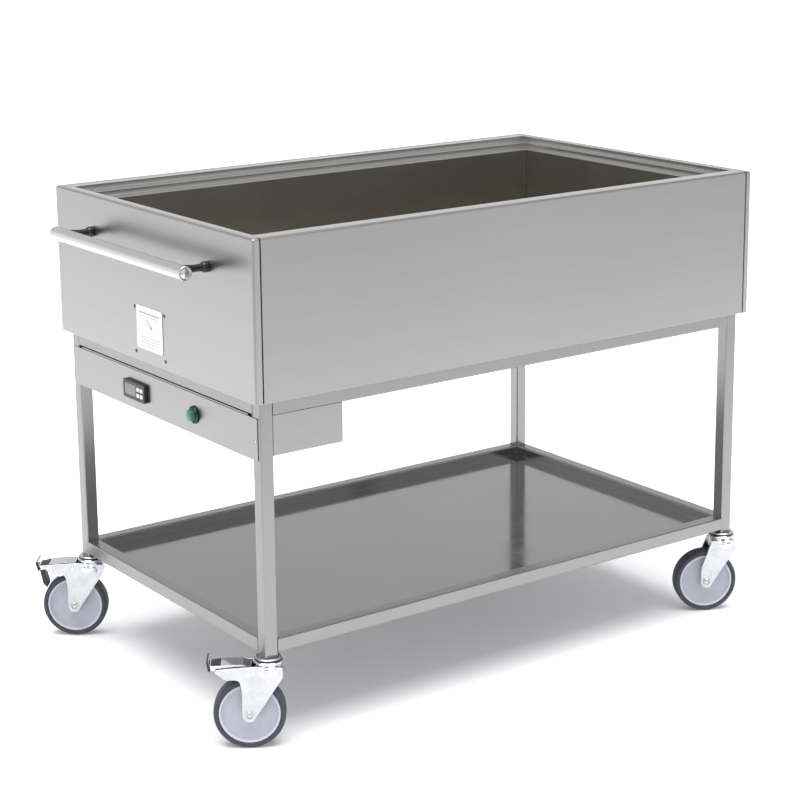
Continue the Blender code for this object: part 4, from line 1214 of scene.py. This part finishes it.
def make_castors(look):
    """Four castors, two of them braked, each on its swivel and its axle."""
    for place in PLACES:
        at = castor_matrix(place)
        axle_x, axle_z = axle_spot(place)
        castor = f"castor_{place}"
        wheel = f"wheel_{place}"
        across = at @ Matrix.Translation((axle_x, 0, axle_z)) @ Matrix.Rotation(
            -math.pi / 2, 4, "X")
        piece(f"{castor}_swivel_stem", stem_mesh(), look["zinc"], "trolley",
              (f"{castor}_stem",), at)
        piece(f"{castor}_dust_seal", seal_mesh(), look["tread"], "trolley", at=at)
        fork, head = fork_mesh(place in BRAKED, axle_x, axle_z)
        piece(f"{castor}_fork_pressing", fork, look["zinc"], castor,
              (f"{castor}_fork",), at)
        piece(f"{castor}_swivel_head", head, look["chrome"], castor, at=at)
        # Painted shade: dark pieces at the back of the head's slots.
        piece(f"{castor}_head_slot_shade", head_slot_shade_mesh(), look["tread"], castor, at=at)
        piece(f"{castor}_axle_bolt", axle_mesh(), look["chrome"], castor,
              (f"{castor}_axle",), across)
        piece(f"{wheel}_tread", tyre_mesh(), look["tyre"], wheel,
              (f"{castor}_tyre",), across)
        piece(f"{wheel}_disc", hub_mesh(), look["hub"], wheel, (f"{castor}_hub",), across)
        piece(f"{wheel}_ring", hub_rim_mesh(), look["hub_rim"], wheel, at=across)
        if place in BRAKED:
            brake = f"brake_{place}"
            press = joint(f"{brake}_press")
            pressed = press["range_deg"][0] < 0
            tilt = Matrix.Rotation(PEDAL_SWING if pressed else 0.0, 4, "Y")
            where = at @ Matrix.Translation(at.inverted() @ Vector(press["pos_m"])) @ tilt
            metal, tread = pedal_meshes(pressed)
            piece(f"{brake}_lever", metal, look["chrome"], brake, (f"{castor}_pedal",),
                  where)
            piece(f"{brake}_cover", tread, look["tread"], brake, at=where)


# ------ CAD nodes that keep their own mesh
def dress_cad_nodes(look):
    """Give the CAD nodes that stay visible their procedural finishes."""
    for node, key, slot in (("bottom_pan", "x", "brushed"), ("insulation_board", "wool", "wool"),
                            ("heating_element", "heater", "heater"),
                            ("temperature_probe", "brass", "brass")):
        obj = frame["nodes"][node]
        obj.data.materials.clear()
        obj.data.materials.append(look[key])


# ------ studio
def make_floor():
    """Pale floor with a faint glow of its own, painted light that lifts the shadow, and painted
    shade that darkens it beyond the camera's view.
    """
    bm = bmesh.new()
    bmesh.ops.create_grid(bm, x_segments=4, y_segments=4, size=60.0)
    floor = linked("floor", to_mesh(bm))
    floor.location.z = cad_low.z - 0.0002
    # Painted light: the floor's emission glows to lift the shadow.
    made = Finish("studio_floor", (0.90, 0.90, 0.905), 0.6, Specular_IOR_Level=0.2,
                  Emission_Color=(0.95, 0.93, 1.0, 1.0), Emission_Strength=0.11)
    place = made.node("ShaderNodeTexCoord")
    split = made.node("ShaderNodeSeparateXYZ")
    made.link(place.outputs["Object"], split.inputs["Vector"])
    # Painted shade: the floor's colour darkens towards -Y and -X, the camera's side.
    made.tone((split.outputs["Y"], 0.42, 1.0, -4.4, -1.2),
              (split.outputs["X"], 0.50, 1.0, -3.0, -0.95))
    floor.data.materials.append(made.material)


def make_world():
    """Pale studio: bright along the horizon, greyer above."""
    world = bpy.data.worlds.new("studio")
    bpy.context.scene.world = world
    world.use_nodes = True
    tree = world.node_tree
    back = tree.nodes["Background"]
    place = tree.nodes.new("ShaderNodeTexCoord")
    split = tree.nodes.new("ShaderNodeSeparateXYZ")
    ramp = tree.nodes.new("ShaderNodeValToRGB")
    tree.links.new(place.outputs["Generated"], split.inputs["Vector"])
    tree.links.new(split.outputs["Z"], ramp.inputs["Fac"])
    tree.links.new(ramp.outputs["Color"], back.inputs["Color"])
    stops = ((0.0, 1.15), (0.20, 0.88), (0.42, 0.74), (0.72, 0.52), (1.0, 0.45))
    ramp.color_ramp.elements[0].position = stops[0][0]
    ramp.color_ramp.elements[1].position = stops[-1][0]
    for position, _ in stops[1:-1]:
        ramp.color_ramp.elements.new(position)
    for element, (_, level) in zip(ramp.color_ramp.elements, stops):
        element.color = (level, level, level * 1.015, 1.0)
    back.inputs["Strength"].default_value = 1.0


def make_lights():
    """A broad soft sun overhead and a tall soft box at the far left."""
    sun = bpy.data.lights.new("overhead", "SUN")
    sun.energy = 3.9
    sun.angle = math.radians(58)
    linked("overhead", sun).rotation_euler = (math.radians(5), math.radians(-5), 0)

    softbox = bpy.data.lights.new("left_box", "AREA")
    softbox.shape = "RECTANGLE"
    softbox.size = 1.8
    softbox.size_y = 1.1
    softbox.energy = 1.3
    box = linked("left_box", softbox)
    box.location = (-1.45, 1.15, 0.57)
    aim = Vector((CASING_LOW.x, 0, 0.57)) - Vector(box.location)
    box.rotation_euler = aim.to_track_quat("-Z", "Y").to_euler()


def make_camera():
    """Three-quarter view onto the front and the handle end, from above the rim."""
    data = bpy.data.cameras.new("camera")
    camera = linked("camera", data)
    yaw, pitch, roll = [math.radians(angle) for angle in CAMERA_TURN]
    ahead = Vector((math.sin(yaw) * math.cos(pitch), math.cos(yaw) * math.cos(pitch),
                    -math.sin(pitch)))
    right = ahead.cross(Vector((0, 0, 1))).normalized()
    up = right.cross(ahead)
    level_right = math.cos(roll) * right + math.sin(roll) * up
    level_up = -math.sin(roll) * right + math.cos(roll) * up
    turn = Matrix((level_right, level_up, -ahead)).transposed().to_4x4()
    camera.matrix_world = Matrix.Translation(Vector(CAMERA_PLACE) + UNIT.translation) @ turn
    data.sensor_width = 36.0
    data.lens = CAMERA_LENS
    data.shift_y = CAMERA_SHIFT_Y
    data.clip_end = 200.0
    bpy.context.scene.camera = camera


# ------ assembly
def main():
    make_camera()
    make_world()
    make_lights()
    make_floor()
    bpy.context.scene.view_settings.view_transform = "Standard"
    look = make_materials()
    for make in (make_tubes, make_frame_welds, make_casing, make_tank, make_shelf,
                 make_control_box, make_fascia, make_controller, make_switch, make_handle,
                 make_info_plate, make_gland, make_drain, make_castors, dress_cad_nodes):
        make(look)


main()
